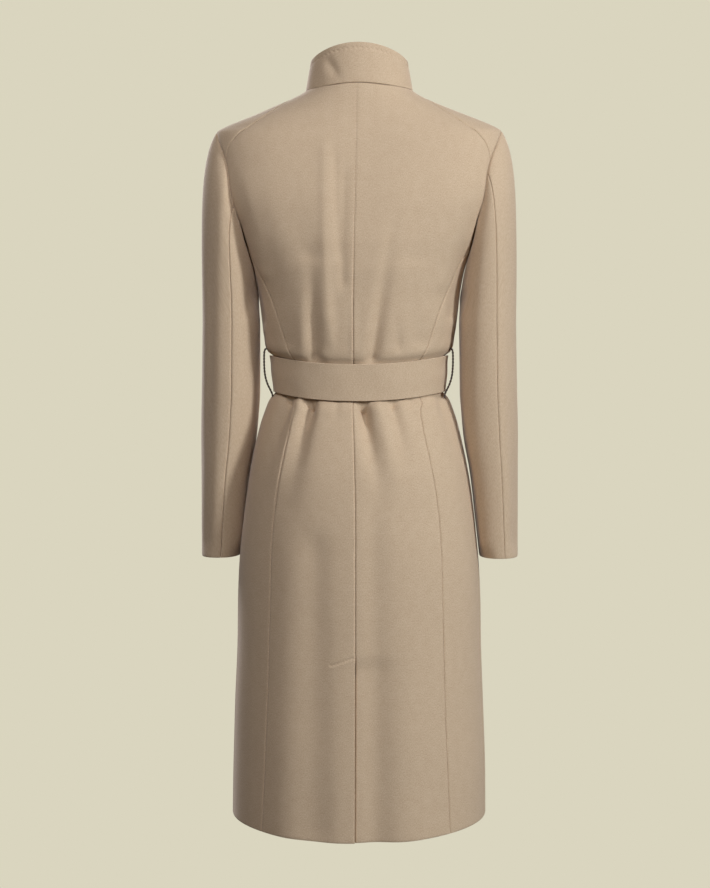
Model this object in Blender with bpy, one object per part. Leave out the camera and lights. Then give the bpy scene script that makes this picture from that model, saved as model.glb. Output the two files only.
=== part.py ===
"""Wool wrap coat with a stand collar, two-piece sleeves, a back vent and a tied belt, worn shape, hollow.

Every cloth piece is a wall cut from one coat surface. The surface is given by level sections, soft
folds are pressed into it, and each piece is a patch of it between its seam lines.
Tables are in millimetres; heights are above the side of the neck, widths are from the centre back.
The front faces -Y and the wearer's left is +X.
"""
import bmesh
import bpy
import numpy as np
from mathutils import Vector

MM = 0.001
SEAM_GAP = 0.3          # between neighbouring pieces
CLOTH = 2.5             # wall of the wool cloth
DOUBLED = 4.5           # wall of the doubled collar and belt

HEM = -1024.0
CUFF = -660.0
VENT_TOP = -784.0
VENT_RECESS = 3.2       # how far the right back steps in under the left one at the vent
VENT_UNDERLAP = 40.0
WRAP_STEP = 5.5         # how far the left front steps in under the right one

# ---------------------------------------------------------------- the coat's level sections
SECTIONS = (
    # height, half_width, back_depth, front_depth, squareness
    (10.0, 68.0, 59.0, 51.0, 2.0),
    (0.0, 76.0, 62.0, 54.0, 2.0),
    (-5.7, 84.0, 64.0, 57.0, 2.0),
    (-28.0, 134.0, 70.0, 65.0, 2.05),
    (-54.0, 198.0, 79.5, 77.5, 2.1),
    (-61.0, 204.0, 83.0, 81.0, 2.35),
    (-93.0, 203.0, 93.0, 92.0, 2.75),
    (-150.0, 197.0, 107.0, 107.0, 2.8),
    (-196.0, 176.0, 113.0, 119.0, 2.7),
    (-224.0, 163.5, 115.0, 125.0, 2.6),
    (-253.0, 151.5, 115.0, 128.0, 2.5),
    (-279.0, 144.7, 113.0, 127.0, 2.45),
    (-292.0, 142.5, 112.0, 125.0, 2.4),
    (-325.0, 138.5, 109.0, 119.0, 2.35),
    (-345.0, 135.5, 106.5, 113.0, 2.3),
    (-367.5, 128.8, 102.2, 106.2, 2.3),
    (-373.5, 122.5, 96.5, 98.5, 2.3),
    (-400.0, 119.9, 96.3, 97.8, 2.3),
    (-426.5, 117.0, 96.0, 97.0, 2.3),
    (-432.0, 123.5, 101.6, 102.8, 2.3),
    (-454.0, 134.5, 109.0, 110.0, 2.3),
    (-494.0, 146.0, 119.5, 116.0, 2.3),
    (-537.0, 155.0, 130.0, 122.0, 2.25),
    (-611.0, 165.0, 138.0, 128.0, 2.2),
    (-668.0, 170.5, 140.5, 131.0, 2.2),
    (-796.0, 174.0, 143.0, 136.0, 2.2),
    (-939.0, 179.0, 150.0, 142.0, 2.2),
    (-1030.0, 180.5, 155.0, 146.0, 2.2),
)
HEM_DIP = 11.0          # the hem is this much lower at the centre back than at the sides
BELT_SAG = 12.6         # the waistline is this much lower at the centre back than at the sides
SAG_REACH = 110.0       # and the sag fades out this far above and below the waist
WAIST = -400.0

FOLDS = (
    # face, x_top, top, x_bottom, bottom, half_width_top, half_width_bottom, depth_top, depth_bottom
    ("back", 55.0, -205.0, 55.0, -400.0, 8.0, 12.0, 0.5, 6.0),
    ("back", 15.0, -110.0, 17.0, -260.0, 7.0, 7.0, 1.5, 1.5),
    ("back", -24.0, -120.0, -28.0, -400.0, 9.0, 14.0, 1.5, 5.5),
    ("back", -15.0, -425.0, -44.0, -570.0, 8.0, 16.0, 7.5, 0.5),
    ("back", 50.0, -425.0, 96.0, -570.0, 8.0, 16.0, 6.5, 0.5),
    ("back", 80.0, -418.0, 134.0, -570.0, 8.0, 14.0, 5.0, 0.5),
    ("back", -108.0, -412.0, -142.0, -535.0, 7.0, 10.0, 4.5, 0.5),
    ("back", -31.0, -640.0, -30.0, -1120.0, 17.0, 25.0, 1.0, 4.5),
    ("back", 55.0, -640.0, 58.0, -1000.0, 18.0, 24.0, 3.0, 1.5),
    ("front", 62.0, -230.0, 46.0, -400.0, 15.0, 16.0, 0.5, 5.0),
    ("front", -66.0, -220.0, -40.0, -400.0, 15.0, 16.0, 0.5, 5.0),
    ("front", 36.0, -412.0, 60.0, -570.0, 14.0, 19.0, 5.5, 0.5),
    ("front", -46.0, -412.0, -78.0, -585.0, 14.0, 19.0, 6.0, 0.5),
    ("front", 30.0, -640.0, 34.0, -1120.0, 22.0, 26.0, 1.0, 4.5),
    ("front", -84.0, -640.0, -90.0, -1120.0, 20.0, 24.0, 1.0, 4.0),
)

# ---------------------------------------------------------------- seam lines
PRINCESS = (
    # height, x
    (-1024.0, 130.0),
    (-925.0, 125.7),
    (-830.0, 122.0),
    (-728.0, 119.5),
    (-648.0, 117.5),
    (-597.0, 114.0),
    (-555.0, 108.5),
    (-503.0, 98.0),
    (-468.0, 90.5),
    (-436.0, 85.5),
    (-405.0, 86.0),
    (-378.0, 91.0),
    (-346.0, 102.5),
    (-302.0, 118.0),
    (-262.0, 136.0),
)
CENTRE_BACK = (
    # height, x
    (-1024.0, 0.0),
    (-620.0, 0.0),
    (-400.0, 4.5),
    (-120.0, 4.0),
    (10.0, 6.0),
)
SIDE_SEAM_BACK = 10.0   # degrees that the side seam lies behind the widest line, from the belt down
NECK_HALF_WIDTH = 76.0
NECK_BACK = 60.6
NECK_FRONT = 80.0
SHOULDER_SEAM = (
    # x, y: from where the seam leaves the ridge to near the back edge of the armhole
    (90.0, 0.0),
    (100.0, 21.0),
    (116.0, 38.0),
    (131.0, 46.0),
    (143.0, 51.0),
    (156.0, 56.0),
    (170.0, 57.5),
)
WRAP_EDGE = (
    # height, x of the right front's edge, how far the left front reaches past the centre front
    (-1024.0, 104.0, 70.0),
    (-700.0, 100.0, 68.0),
    (-400.0, 84.0, 58.0),
    (-300.0, 66.0, 45.0),
    (-180.0, 36.0, 28.0),
    (-58.0, 11.0, 11.0),
)
NECK_LAP = 11.0         # each front and collar end passes the centre front by this much
NECK_SIDE = 90.0        # plan angle where the shoulder seam meets the neckline
NECK_END = 180 + np.degrees(np.arcsin(NECK_LAP / NECK_HALF_WIDTH))
NECK_COLUMNS = 7
SEAM_COLUMNS = 5
ROW_HEIGHTS = (HEM, -985.0, -940.0, -890.0, -838.0, VENT_TOP, -738.0, -690.0, -645.0, -605.0, -570.0,
               -540.0, -512.0, -488.0, -468.0, -452.0, -441.0, -432.0, -426.5, -400.0, -373.5, -367.5,
               -357.0, -342.0, -320.0, -298.0, -276.0, -250.0)
SHAPED_ABOVE = -345.0   # rows run level below this height and follow the yoke above it

# ---------------------------------------------------------------- armhole and sleeves
ARMHOLE_TOP = -54.0
ARMHOLE_BOTTOM = -292.0
ARMHOLE_BACK = 66.0
ARMHOLE_FRONT = 61.0
ARMHOLE_DROP = 1.3      # powers that shape the armhole: how fast it falls from its top
ARMHOLE_CURVE = 1.9     # and how late it swings out to its back and front
ARMHOLE_TURNS = (0, 20, 38, 53, 66, 77, 87.5, 98, 110, 123, 137, 151, 165,
                 180, 195, 209, 222, 235, 250, 265, 280, 295, 310, 325, 340, 360)
SHOULDER_TURN = 66      # armhole turn where the shoulder seam ends
PRINCESS_TURN = 123     # armhole turn where the curved back seam ends
FRONT_SLEEVE_TURN = 235
BACK_SLEEVE_TURN = {"left": 98, "right": 77}
SLEEVE_SECTIONS = (
    # height, inner_x, outer_x, back_y, front_y
    (-330.0, 142.0, 223.0, 66.0, -64.0),
    (-425.0, 142.5, 225.0, 62.0, -70.0),
    (-454.0, 144.5, 225.8, 60.0, -72.0),
    (-494.0, 148.5, 226.4, 57.0, -74.0),
    (-537.0, 156.5, 226.4, 53.0, -76.0),
    (-611.0, 166.0, 226.4, 45.0, -79.0),
    (-660.0, 171.5, 226.4, 40.0, -80.0),
)
SLEEVE_SQUARENESS = 2.3
CROWN_SPREAD = 1.2      # power that keeps the sleeve head's fullness near the shoulder
CROWN_FULLNESS = 0.22   # how far the sleeve head swings out, as a share of its length
CAP_ROWS = 8
SLEEVE_ROWS = 12

# ---------------------------------------------------------------- collar and belt
COLLAR_LEAN = 7.0       # the collar's top is this much narrower on each side than its base
COLLAR_TOP_SIDE = 40.5
COLLAR_RISE_BACK = 21.0
COLLAR_DROP_FRONT = 40.0
COLLAR_EDGE_CURVE = 1.6 # power that shapes the collar's top edge from side to back
COLLAR_LAP_FADE = (16.0, 4.0)   # degrees before its left end where that end starts and stops to sink
COLLAR_LAP_GAP = 0.7
BELT_TOP = -374.0
BELT_HEIGHT = 51.0
BELT_EASE = 0.8
BELT_EDGE_REACH = 9.0   # the folds run out this far above and below the belt
KNOT_X = 30.0
KNOT_SIZE = (64.0, 22.0, 62.0)
KNOT_ROUNDING = 9.0
KNOT_SEAT = 2.5         # the knot's flat back stands this far in front of the belt's middle face
TAIL_WIDTH = 46.0
TAILS = (
    # side, x_top, x_bottom, length
    ("left", 57.0, 84.0, 300.0),
    ("right", 4.0, -12.0, 330.0),
)
LOOP_CORD = 3.0
LOOP_ROUTE = (
    # height, how far the cord's middle stands outside the waist of the coat
    (-366.8, 10.3),
    (-363.9, 11.8),
    (-364.4, 14.4),
    (-369.0, 16.3),
    (-379.0, 16.6),
    (-392.5, 16.2),
    (-404.0, 14.7),
    (-415.0, 11.2),
    (-423.0, 7.2),
    (-427.5, 5.2),
)
LOOP_ENDS = {"left": (-431.2, 4.1), "right": (-433.4, 4.1)}     # the lower ends, on the coat
LOOP_TURN = 76.0


# ---------------------------------------------------------------- curves through the tables
def smooth_columns(table, at):
    """Reads every column of a table at the given values of its first one, with no overshoot."""
    rows = np.array(sorted(table))
    x = rows[:, 0]
    step = np.diff(x)
    slope = np.diff(rows[:, 1:], axis=0) / step[:, None]
    tangent = np.vstack([slope[:1], (slope[1:] + slope[:-1]) / 2, slope[-1:]])
    turning = slope[1:] * slope[:-1] <= 0
    tangent[1:-1][turning] = 0
    low = np.minimum(np.abs(slope[1:]), np.abs(slope[:-1])) * 3
    tangent[1:-1] = np.clip(tangent[1:-1], -low, low)
    at = np.clip(np.asarray(at, float), x[0], x[-1])
    i = np.clip(np.searchsorted(x, at) - 1, 0, len(x) - 2)
    t = ((at - x[i]) / step[i])[..., None]
    h = step[i][..., None]
    value = rows[:, 1:]
    result = ((2 * t**3 - 3 * t**2 + 1) * value[i] + (t**3 - 2 * t**2 + t) * h * tangent[i]
              + (3 * t**2 - 2 * t**3) * value[i + 1] + (t**3 - t**2) * h * tangent[i + 1])
    return np.moveaxis(result, -1, 0)


def ease(value, start, end):
    t = np.clip((np.asarray(value, float) - start) / (end - start), 0, 1)
    return t * t * (3 - 2 * t)


# ---------------------------------------------------------------- the coat's surface
def belt_sag(turn):
    return BELT_SAG * np.where(np.cos(turn) > 0, np.cos(turn) ** 2, 0)


def waist_sag(turn, height):
    return belt_sag(turn) * (1 - ease(np.abs(height - WAIST), 0.35 * SAG_REACH, SAG_REACH))


def hem_dip(turn, height):
    return HEM_DIP / BELT_SAG * belt_sag(turn) * ease(height, HEM + 260, HEM)


def plain_body(turn, height):
    """A point of the coat before its folds; turn 0 is the centre back, 90 degrees the left side."""
    width, back, front, square = smooth_columns(SECTIONS, height + waist_sag(turn, height))
    sine, cosine = np.sin(turn), np.cos(turn)
    x = width * np.sign(sine) * np.abs(sine) ** (2 / square)
    depth = np.where(cosine > 0, back, front)
    y = depth * np.sign(cosine) * np.abs(cosine) ** (2 / square)
    return np.stack([x, y, height + 0 * x], axis=-1)


def normals(surface, u, v, du, dv):
    along_u = surface(u + du, v) - surface(u - du, v)
    along_v = surface(u, v + dv) - surface(u, v - dv)
    out = np.cross(along_v, along_u)
    return out / np.linalg.norm(out, axis=-1, keepdims=True)


def fold_depth(turn, height, x):
    """How far the folds draw the cloth in at a point of the plain body."""
    depth = 0 * x
    for face, x_top, top, x_bottom, bottom, wide_top, wide_bottom, deep_top, deep_bottom in FOLDS:
        t = (top - height) / (top - bottom)
        centre = x_top + (x_bottom - x_top) * t
        half_width = wide_top + (wide_bottom - wide_top) * np.clip(t, 0, 1)
        deep = deep_top + (deep_bottom - deep_top) * ease(t, 0, 1)
        along = ease(t, 0, 0.1) * (1 - ease(t, 0.9, 1))
        facing = ease(np.cos(turn) * (1 if face == "back" else -1), 0, 0.25)
        depth = depth + deep * along * facing * np.exp(-((x - centre) / half_width) ** 2)
    return depth


def clear_of_belt(turn, height):
    """0 where the belt presses the cloth flat, 1 beyond its edges."""
    from_middle = np.abs(height + belt_sag(turn) - (BELT_TOP - BELT_HEIGHT / 2))
    return ease(from_middle, BELT_HEIGHT / 2, BELT_HEIGHT / 2 + BELT_EDGE_REACH)


def body(turn, height):
    plain = plain_body(turn, height)
    out = normals(plain_body, turn, height, 0.004, 0.5)
    folds = fold_depth(turn, height, plain[..., 0]) * clear_of_belt(turn, height)
    return plain - out * folds[..., None]


def stepped_body(step):
    """The coat's surface with a piece's own step below its neighbour."""
    def surface(turn, height):
        plain = body(turn, height)
        return plain - normals(body, turn, height, 0.004, 0.5) * step(turn, height)[..., None]
    return surface


def vent_step(turn, height):
    """The right back sinks towards the vent's edge, and the underlay stays at that depth."""
    return VENT_RECESS * ease(np.degrees(turn), -24, -3) * ease(height, VENT_TOP + 6, VENT_TOP - 22)


def underlay_step(turn, height):
    return VENT_RECESS + 0 * turn


def under_front_step(turn, height):
    """The left front sinks before it passes under the right front's edge."""
    x = plain_body(turn, height)[..., 0]
    edge = smooth_columns(WRAP_EDGE, height)[0]
    return WRAP_STEP * ease(edge - x, -26, -4) * ease(np.cos(turn), 0.1, -0.1)


# ---------------------------------------------------------------- places on the surface
def turn_at_x(x, height, face="back"):
    """The turn at which the plain body has the given x on its back or front face."""
    low, high = (0.0, 90.0) if face == "back" else (180.0, 90.0)
    low, high = np.full(np.shape(x), np.radians(low)), np.full(np.shape(x), np.radians(high))
    for _ in range(40):
        middle = (low + high) / 2
        inside = plain_body(middle, height)[..., 0] < np.abs(x)
        low, high = np.where(inside, middle, low), np.where(inside, high, middle)
    return np.sign(x) * low if face == "back" else low


def turn_at_y(y, height):
    width, back, front, square = smooth_columns(SECTIONS, height)
    ratio = np.clip(np.where(y > 0, y / back, y / front), -1, 1)
    return np.arccos(np.sign(ratio) * np.abs(ratio) ** (square / 2))


def armhole(turn_degrees):
    """The left armhole as turn and height on the body; 0 is its top, 90 its back, 180 its bottom."""
    angle = np.radians(np.asarray(turn_degrees, float))
    drop = ((1 - np.cos(angle)) / 2) ** ARMHOLE_DROP
    height = ARMHOLE_TOP + (ARMHOLE_BOTTOM - ARMHOLE_TOP) * drop
    reach = np.where(np.sin(angle) > 0, ARMHOLE_BACK, ARMHOLE_FRONT)
    y = reach * np.sign(np.sin(angle)) * np.abs(np.sin(angle)) ** ARMHOLE_CURVE
    return turn_at_y(np.where(np.abs(y) < 1e-6, 0, y), height), height


def height_on_top(x, y):
    """The height at which the shoulder passes over a point of the plan."""
    low, high = np.full(np.shape(x), -140.0), np.full(np.shape(x), 6.0)
    for _ in range(40):
        middle = (low + high) / 2
        width, back, front, square = smooth_columns(SECTIONS, middle)
        inside = (np.abs(x) / width) ** square + (np.abs(y) / np.where(y > 0, back, front)) ** square < 1
        low, high = np.where(inside, middle, low), np.where(inside, high, middle)
    return low


def neckline(plan_degrees):
    """The neckline as turn and height on the body, from its angle in plan."""
    angle = np.radians(np.asarray(plan_degrees, float))
    x = NECK_HALF_WIDTH * np.sin(angle)
    y = np.where(np.cos(angle) > 0, NECK_BACK, NECK_FRONT) * np.cos(angle)
    height = height_on_top(x, y)
    turn = turn_at_y(y, height)
    return np.where(x < 0, np.where(angle > 0, 2 * np.pi - turn, -turn), turn), height


# ---------------------------------------------------------------- patches between seam lines
def patch(left, right, top):
    """Fills the patch between two side lines and a top line, each an array of two coordinates."""
    left, right, top = np.array(left), np.array(right), np.array(top)
    across = np.linspace(0, 1, len(top))[None, :, None]
    rise = np.clip((left[:, 1] - SHAPED_ABOVE) / (left[-1, 1] - SHAPED_ABOVE), 0, 1)[:, None, None]
    rows = left[:, None] * (1 - across) + right[:, None] * across
    return rows + rise * (top[None] - rows[-1:])


def seen_square(line):
    """A line of (turn, height) as x and height, the way it looks from straight behind or in front."""
    turn, height = np.array(line).T
    return np.stack([plain_body(turn, height)[..., 0], height], axis=-1)


def on_face(rows, face):
    """The reverse of seen_square, for points on the back or on the front."""
    x, height = rows[..., 0], rows[..., 1]
    turn = turn_at_x(x if face == "back" else np.abs(x), height, face)
    if face == "front":
        turn = np.where(x < 0, 2 * np.pi - turn, turn)
    return np.stack([turn, height], axis=-1)


def with_edges(rows, left, right, top):
    rows[:, 0], rows[:, -1], rows[-1] = left, right, top
    return rows


def inset_edges(bm, distance):
    """Draws the open edges of a sheet in, so that it stays clear of the pieces sewn to it."""
    shift = {}
    for edge in [e for e in bm.edges if e.is_boundary]:
        face = edge.link_faces[0]
        along = (edge.verts[1].co - edge.verts[0].co).normalized()
        inward = face.calc_center_median() - edge.verts[0].co
        inward = (inward - along * inward.dot(along)).normalized()
        for vert in edge.verts:
            shift.setdefault(vert, []).append(inward)
    for vert, inwards in shift.items():
        total = sum(inwards, Vector())
        vert.co += total * (distance * len(inwards) / max(total.length_squared, 0.5))


def finish_object(name, bm, material):
    bmesh.ops.recalc_face_normals(bm, faces=bm.faces)
    mesh = bpy.data.meshes.new(name)
    bm.to_mesh(mesh)
    bm.free()
    mesh.shade_smooth()
    mesh.set_sharp_from_angle(angle=np.radians(40))
    mesh.materials.append(material)
    obj = bpy.data.objects.new(name, mesh)
    bpy.context.collection.objects.link(obj)
    return obj


def place_grid(bm, points, outs):
    """Adds a grid of faces through an array of points, each with its own thickness direction."""
    direction = bm.verts.layers.float_vector["thickness_direction"]
    rows, columns = points.shape[:2]
    made = bmesh.ops.create_grid(bm, x_segments=columns - 1, y_segments=rows - 1, size=0.5)
    for vert, point, out in zip(made["verts"], points.reshape(-1, 3), outs.reshape(-1, 3)):
        vert.co = Vector(point) * MM
        vert[direction] = Vector(out)


def cloth_wall(name, grids, wall, material, gap=SEAM_GAP):
    """Joins grids of outer points into one sheet and thickens it inwards to a closed wall."""
    bm = bmesh.new()
    direction = bm.verts.layers.float_vector.new("thickness_direction")
    for points, outs in grids:
        place_grid(bm, points, outs)
    bmesh.ops.remove_doubles(bm, verts=bm.verts, dist=0.02 * MM)
    bmesh.ops.dissolve_degenerate(bm, edges=bm.edges, dist=0.02 * MM)
    inset_edges(bm, gap / 2 * MM)
    sheet = bm.faces[:]
    inner = bmesh.ops.extrude_face_region(bm, geom=sheet, use_keep_orig=True)
    for vert in [item for item in inner["geom"] if isinstance(item, bmesh.types.BMVert)]:
        vert.co -= Vector(vert[direction]).normalized() * wall * MM
    return finish_object(name, bm, material)


def body_piece(name, side, patches, surface, material):
    """A panel of the coat's body from patches of (turn, height) given for the left side."""
    grids = []
    for rows in patches:
        turn = rows[..., 0] * side
        height = rows[..., 1] - waist_sag(turn, rows[..., 1]) - hem_dip(turn, rows[..., 1])
        grids.append((surface(turn, height), normals(surface, turn, height, 0.004, 0.5)))
    return cloth_wall(name, grids, CLOTH, material)


# ---------------------------------------------------------------- seam lines as (turn, height)
def armhole_line(start, end):
    turns = [t for t in ARMHOLE_TURNS if min(start, end) <= t <= max(start, end)]
    turn, height = armhole(sorted(turns, reverse=start > end))
    return list(zip(turn, height))


def princess_line():
    """From the hem up to the armhole and on to the outer end of the shoulder seam."""
    heights = np.array(ROW_HEIGHTS)
    join = armhole(PRINCESS_TURN)
    x = smooth_columns(PRINCESS + ((join[1], plain_body(join[0], join[1])[0]),), heights)[0]
    return list(zip(turn_at_x(x, heights), heights)) + armhole_line(PRINCESS_TURN, SHOULDER_TURN)


def side_seam_line():
    """From the hem to the bottom of the armhole, with the same level rows as the princess seam."""
    join = armhole(PRINCESS_TURN)[1]
    heights = np.array(ROW_HEIGHTS + (join,))
    upper = heights > SHAPED_ABOVE
    stretch = (ARMHOLE_BOTTOM - SHAPED_ABOVE) / (join - SHAPED_ABOVE)
    heights[upper] = SHAPED_ABOVE + (heights[upper] - SHAPED_ABOVE) * stretch
    back_by = SIDE_SEAM_BACK * ease(heights, ARMHOLE_BOTTOM, BELT_TOP)
    return list(zip(np.radians(90 - back_by), heights))


def centre_back_line(side, top):
    rows_above = len(armhole_line(SHOULDER_TURN, PRINCESS_TURN))
    heights = list(ROW_HEIGHTS) + list(np.linspace(armhole(PRINCESS_TURN)[1], top, rows_above))
    x = smooth_columns(CENTRE_BACK, heights)[0]
    return list(zip(side * turn_at_x(x, np.array(heights)), heights))


def shoulder_seam_line():
    """From the outer end of the seam over the shoulder to where it joins the ridge."""
    end_turn, end_height = armhole(SHOULDER_TURN)
    end_x, end_y, _ = plain_body(end_turn, end_height)
    x = np.linspace(end_x, SHOULDER_SEAM[0][0], SEAM_COLUMNS + 1)
    y = smooth_columns(SHOULDER_SEAM + ((end_x, end_y),), x)[0]
    height = height_on_top(x, y)
    height[0] = end_height
    turn = turn_at_y(y, height)
    turn[0], turn[-1] = end_turn, np.pi / 2
    return list(zip(turn, height))


def neck_line(start, end, count):
    return list(zip(*neckline(np.linspace(start, end, count + 1))))


def back_patch(side):
    top = neck_line(0, NECK_SIDE, NECK_COLUMNS) + shoulder_seam_line()[::-1]
    left = centre_back_line(side, top[0][1])
    right = princess_line()
    top[0], top[-1] = left[-1], right[-1]
    rows = on_face(patch(seen_square(left), seen_square(right), seen_square(top)), "back")
    return with_edges(rows, left, right, top)


def side_back_patch():
    princess = princess_line()[:len(ROW_HEIGHTS) + 1]
    return patch(princess, side_seam_line(), armhole_line(PRINCESS_TURN, 180))


def front_patches(reach):
    """The front from the side seam to its own edge, and the strip of it that lies behind the ridge."""
    outer = side_seam_line() + armhole_line(180, 360)[1:]
    heights = np.array([height for _, height in outer])
    seam = shoulder_seam_line()
    ridge = [(np.pi / 2, h) for h in np.linspace(ARMHOLE_TOP, seam[-1][1], SEAM_COLUMNS + 1)]
    top = ridge + neck_line(NECK_SIDE, NECK_END, NECK_COLUMNS)
    rise = np.linspace(SHAPED_ABOVE, top[-1][1], int(np.sum(heights > SHAPED_ABOVE)) + 1)[1:]
    edge_heights = np.concatenate([heights[heights <= SHAPED_ABOVE], rise])
    past_centre = smooth_columns(WRAP_EDGE, edge_heights)[reach]
    edge = list(zip(2 * np.pi - turn_at_x(past_centre, edge_heights, "front"), edge_heights))
    top[0], top[-1] = outer[-1], edge[-1]
    across = np.linspace(0, 1, len(top))[None, :, None]
    round_rows = np.array(outer)[:, None] * (1 - across) + np.array(edge)[:, None] * across
    square_rows = patch(seen_square(outer), seen_square(edge), seen_square(top))
    yoke = ease(heights, ARMHOLE_BOTTOM, -130)[:, None, None]
    rows = seen_square(round_rows.reshape(-1, 2)).reshape(round_rows.shape) * (1 - yoke) + square_rows * yoke
    main = with_edges(on_face(rows, "front"), outer, edge, top)
    return [main, behind_ridge_patch(ridge, seam)]


def behind_ridge_patch(ridge, seam):
    """The strip of the front between the shoulder's ridge and the shoulder seam, worked out in plan."""
    corner = armhole_line(0, SHOULDER_TURN)
    corner[0] = ridge[0]
    share = np.linspace(0, 1, len(corner))[None, :, None]
    plan_ridge, plan_seam, plan_corner = [plain_body(*np.array(line).T)[:, :2] for line in (ridge, seam, corner)]
    plan = plan_ridge[:, None] * (1 - share) + plan_seam[:, None] * share
    fade = np.linspace(1, 0, len(ridge))[:, None, None] ** 2
    plan = plan + fade * (plan_corner[None] - plan[:1])
    height = height_on_top(plan[..., 0], plan[..., 1])
    rows = np.stack([turn_at_y(plan[..., 1], height), height], axis=-1)
    rows[0] = corner
    rows[:, 0], rows[:, -1] = ridge, seam
    return rows


def vent_underlay_patch():
    heights = [h for h in ROW_HEIGHTS if h < VENT_TOP] + [VENT_TOP - 26.0]
    x = np.linspace(0, VENT_UNDERLAP, 4)
    return np.array([[(turn_at_x(np.array(across), h), h) for across in x] for h in heights], float)


# ---------------------------------------------------------------- sleeves
def sleeve_surface(side):
    """A point of the left sleeve; turn 0 is its outer line, 90 degrees its back; run 0 is the armhole,
    1 the level where it hangs free, 2 the cuff. The given side is the armhole that it grows from."""
    def surface(turn, run):
        turn, run = np.broadcast_arrays(turn, np.clip(run, 0, 2))
        free = SLEEVE_SECTIONS[0][0]
        height = free + (CUFF - free) * np.clip(run - 1, 0, 1)
        inner, outer, back, front = smooth_columns(SLEEVE_SECTIONS, height)
        power = 2 / SLEEVE_SQUARENESS
        round_x = np.sign(np.cos(turn)) * np.abs(np.cos(turn)) ** power
        round_y = np.sign(np.sin(turn)) * np.abs(np.sin(turn)) ** power
        x = (inner + outer) / 2 + (outer - inner) / 2 * round_x
        y = (back + front) / 2 + (back - front) / 2 * round_y
        hanging = np.stack([x, y, height], axis=-1)
        hole_turn, hole_height = armhole(np.degrees(turn))
        start = body(side * hole_turn, hole_height) * (side, 1, 1)
        reach = np.linalg.norm(hanging - start, axis=-1)
        crown = ((1 + np.cos(turn)) / 2) ** CROWN_SPREAD
        outward = (0.1 + CROWN_FULLNESS * crown) * reach
        leave = np.stack([outward, 0.3 * np.sin(turn) * reach, -0.5 * reach], axis=-1)
        arrive = np.stack([0 * reach, 0 * reach, -1.2 * reach], axis=-1)
        t = np.clip(run, 0, 1)[..., None]
        cap = ((2 * t**3 - 3 * t**2 + 1) * start + (t**3 - 2 * t**2 + t) * leave
               + (3 * t**2 - 2 * t**3) * hanging + (t**3 - t**2) * arrive)
        return np.where(run[..., None] < 1, cap, hanging)
    return surface


def sleeve_piece(name, side, start, end, material):
    """One cut piece of a sleeve, between two of its lengthwise lines."""
    turns = sorted({t + lap for t in ARMHOLE_TURNS for lap in (-360, 0) if start <= t + lap <= end})
    turn = np.radians(turns)[None, :]
    run = np.concatenate([np.linspace(0, 1, CAP_ROWS + 1), np.linspace(1, 2, SLEEVE_ROWS + 1)[1:]])[:, None]
    surface = sleeve_surface(side)
    points = surface(turn, run)
    outs = normals(surface, turn + 0 * run, run + 0 * turn, 0.004, 0.01)
    hole_turn, hole_height = armhole(np.array(turns, float))
    seam_out = normals(body, side * hole_turn, hole_height, 0.004, 0.5) * (side, 1, 1)
    share = ease(np.cos(turn[0]), -0.75, 0.1)[:, None]
    outs[0] = seam_out * share + outs[0] * (1 - share)
    return cloth_wall(name, [(points * (side, 1, 1), outs * (side, 1, 1))], CLOTH, material, gap=0.5)


# ---------------------------------------------------------------- collar and belt
def collar_surface(angle, rise):
    """A point of the collar's outer face; the left end passes under the right one at the front."""
    base = body(*neckline(np.degrees(angle)))
    cosine = np.cos(angle)
    from_side = np.where(cosine > 0, COLLAR_RISE_BACK, -COLLAR_DROP_FRONT)
    top = COLLAR_TOP_SIDE + from_side * np.abs(cosine) ** COLLAR_EDGE_CURVE
    out = base * (1, 1, 0)
    out = out / np.linalg.norm(out, axis=-1, keepdims=True)
    starts, stops = [past - NECK_END for past in COLLAR_LAP_FADE]
    under = (DOUBLED + COLLAR_LAP_GAP) * ease(np.degrees(angle), starts, stops)
    point = base - out * (COLLAR_LEAN * rise + under)[..., None]
    point[..., 2] = base[..., 2] + 0.4 + (top - base[..., 2] - 0.4) * rise
    return point


def collar(material):
    half = np.concatenate([np.linspace(0, NECK_SIDE, NECK_COLUMNS + 1),
                           np.linspace(NECK_SIDE, NECK_END, NECK_COLUMNS + 1)[1:]])
    angle = np.radians(np.concatenate([-half[:0:-1], half]))[None, :]
    rise = np.linspace(0, 1, 5)[:, None]
    angle, rise = angle + 0 * rise, rise + 0 * angle
    outs = normals(collar_surface, angle, rise, 0.004, 0.02) * (1, 1, 0)
    return cloth_wall("collar", [(collar_surface(angle, rise), outs)], DOUBLED, material, gap=0.2)


def belt_surface(turn, rise):
    """A point of the belt's outer face; rise 0 is its lower edge and 1 its upper edge."""
    height = BELT_TOP - BELT_HEIGHT * (1 - rise) - belt_sag(turn)
    out = normals(plain_body, turn, height, 0.004, 0.5) * (1, 1, 0)
    out = out / np.linalg.norm(out, axis=-1, keepdims=True)
    return plain_body(turn, height) + out * (BELT_EASE + DOUBLED)


def belt_band(material):
    turn = np.radians(np.linspace(-180, 180, 49))[None, :]
    rise = np.linspace(0, 1, 3)[:, None]
    turn, rise = turn + 0 * rise, rise + 0 * turn
    outs = normals(belt_surface, turn, rise, 0.004, 0.02) * (1, 1, 0)
    return cloth_wall("belt_band", [(belt_surface(turn, rise), outs)], DOUBLED, material, gap=0)


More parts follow.
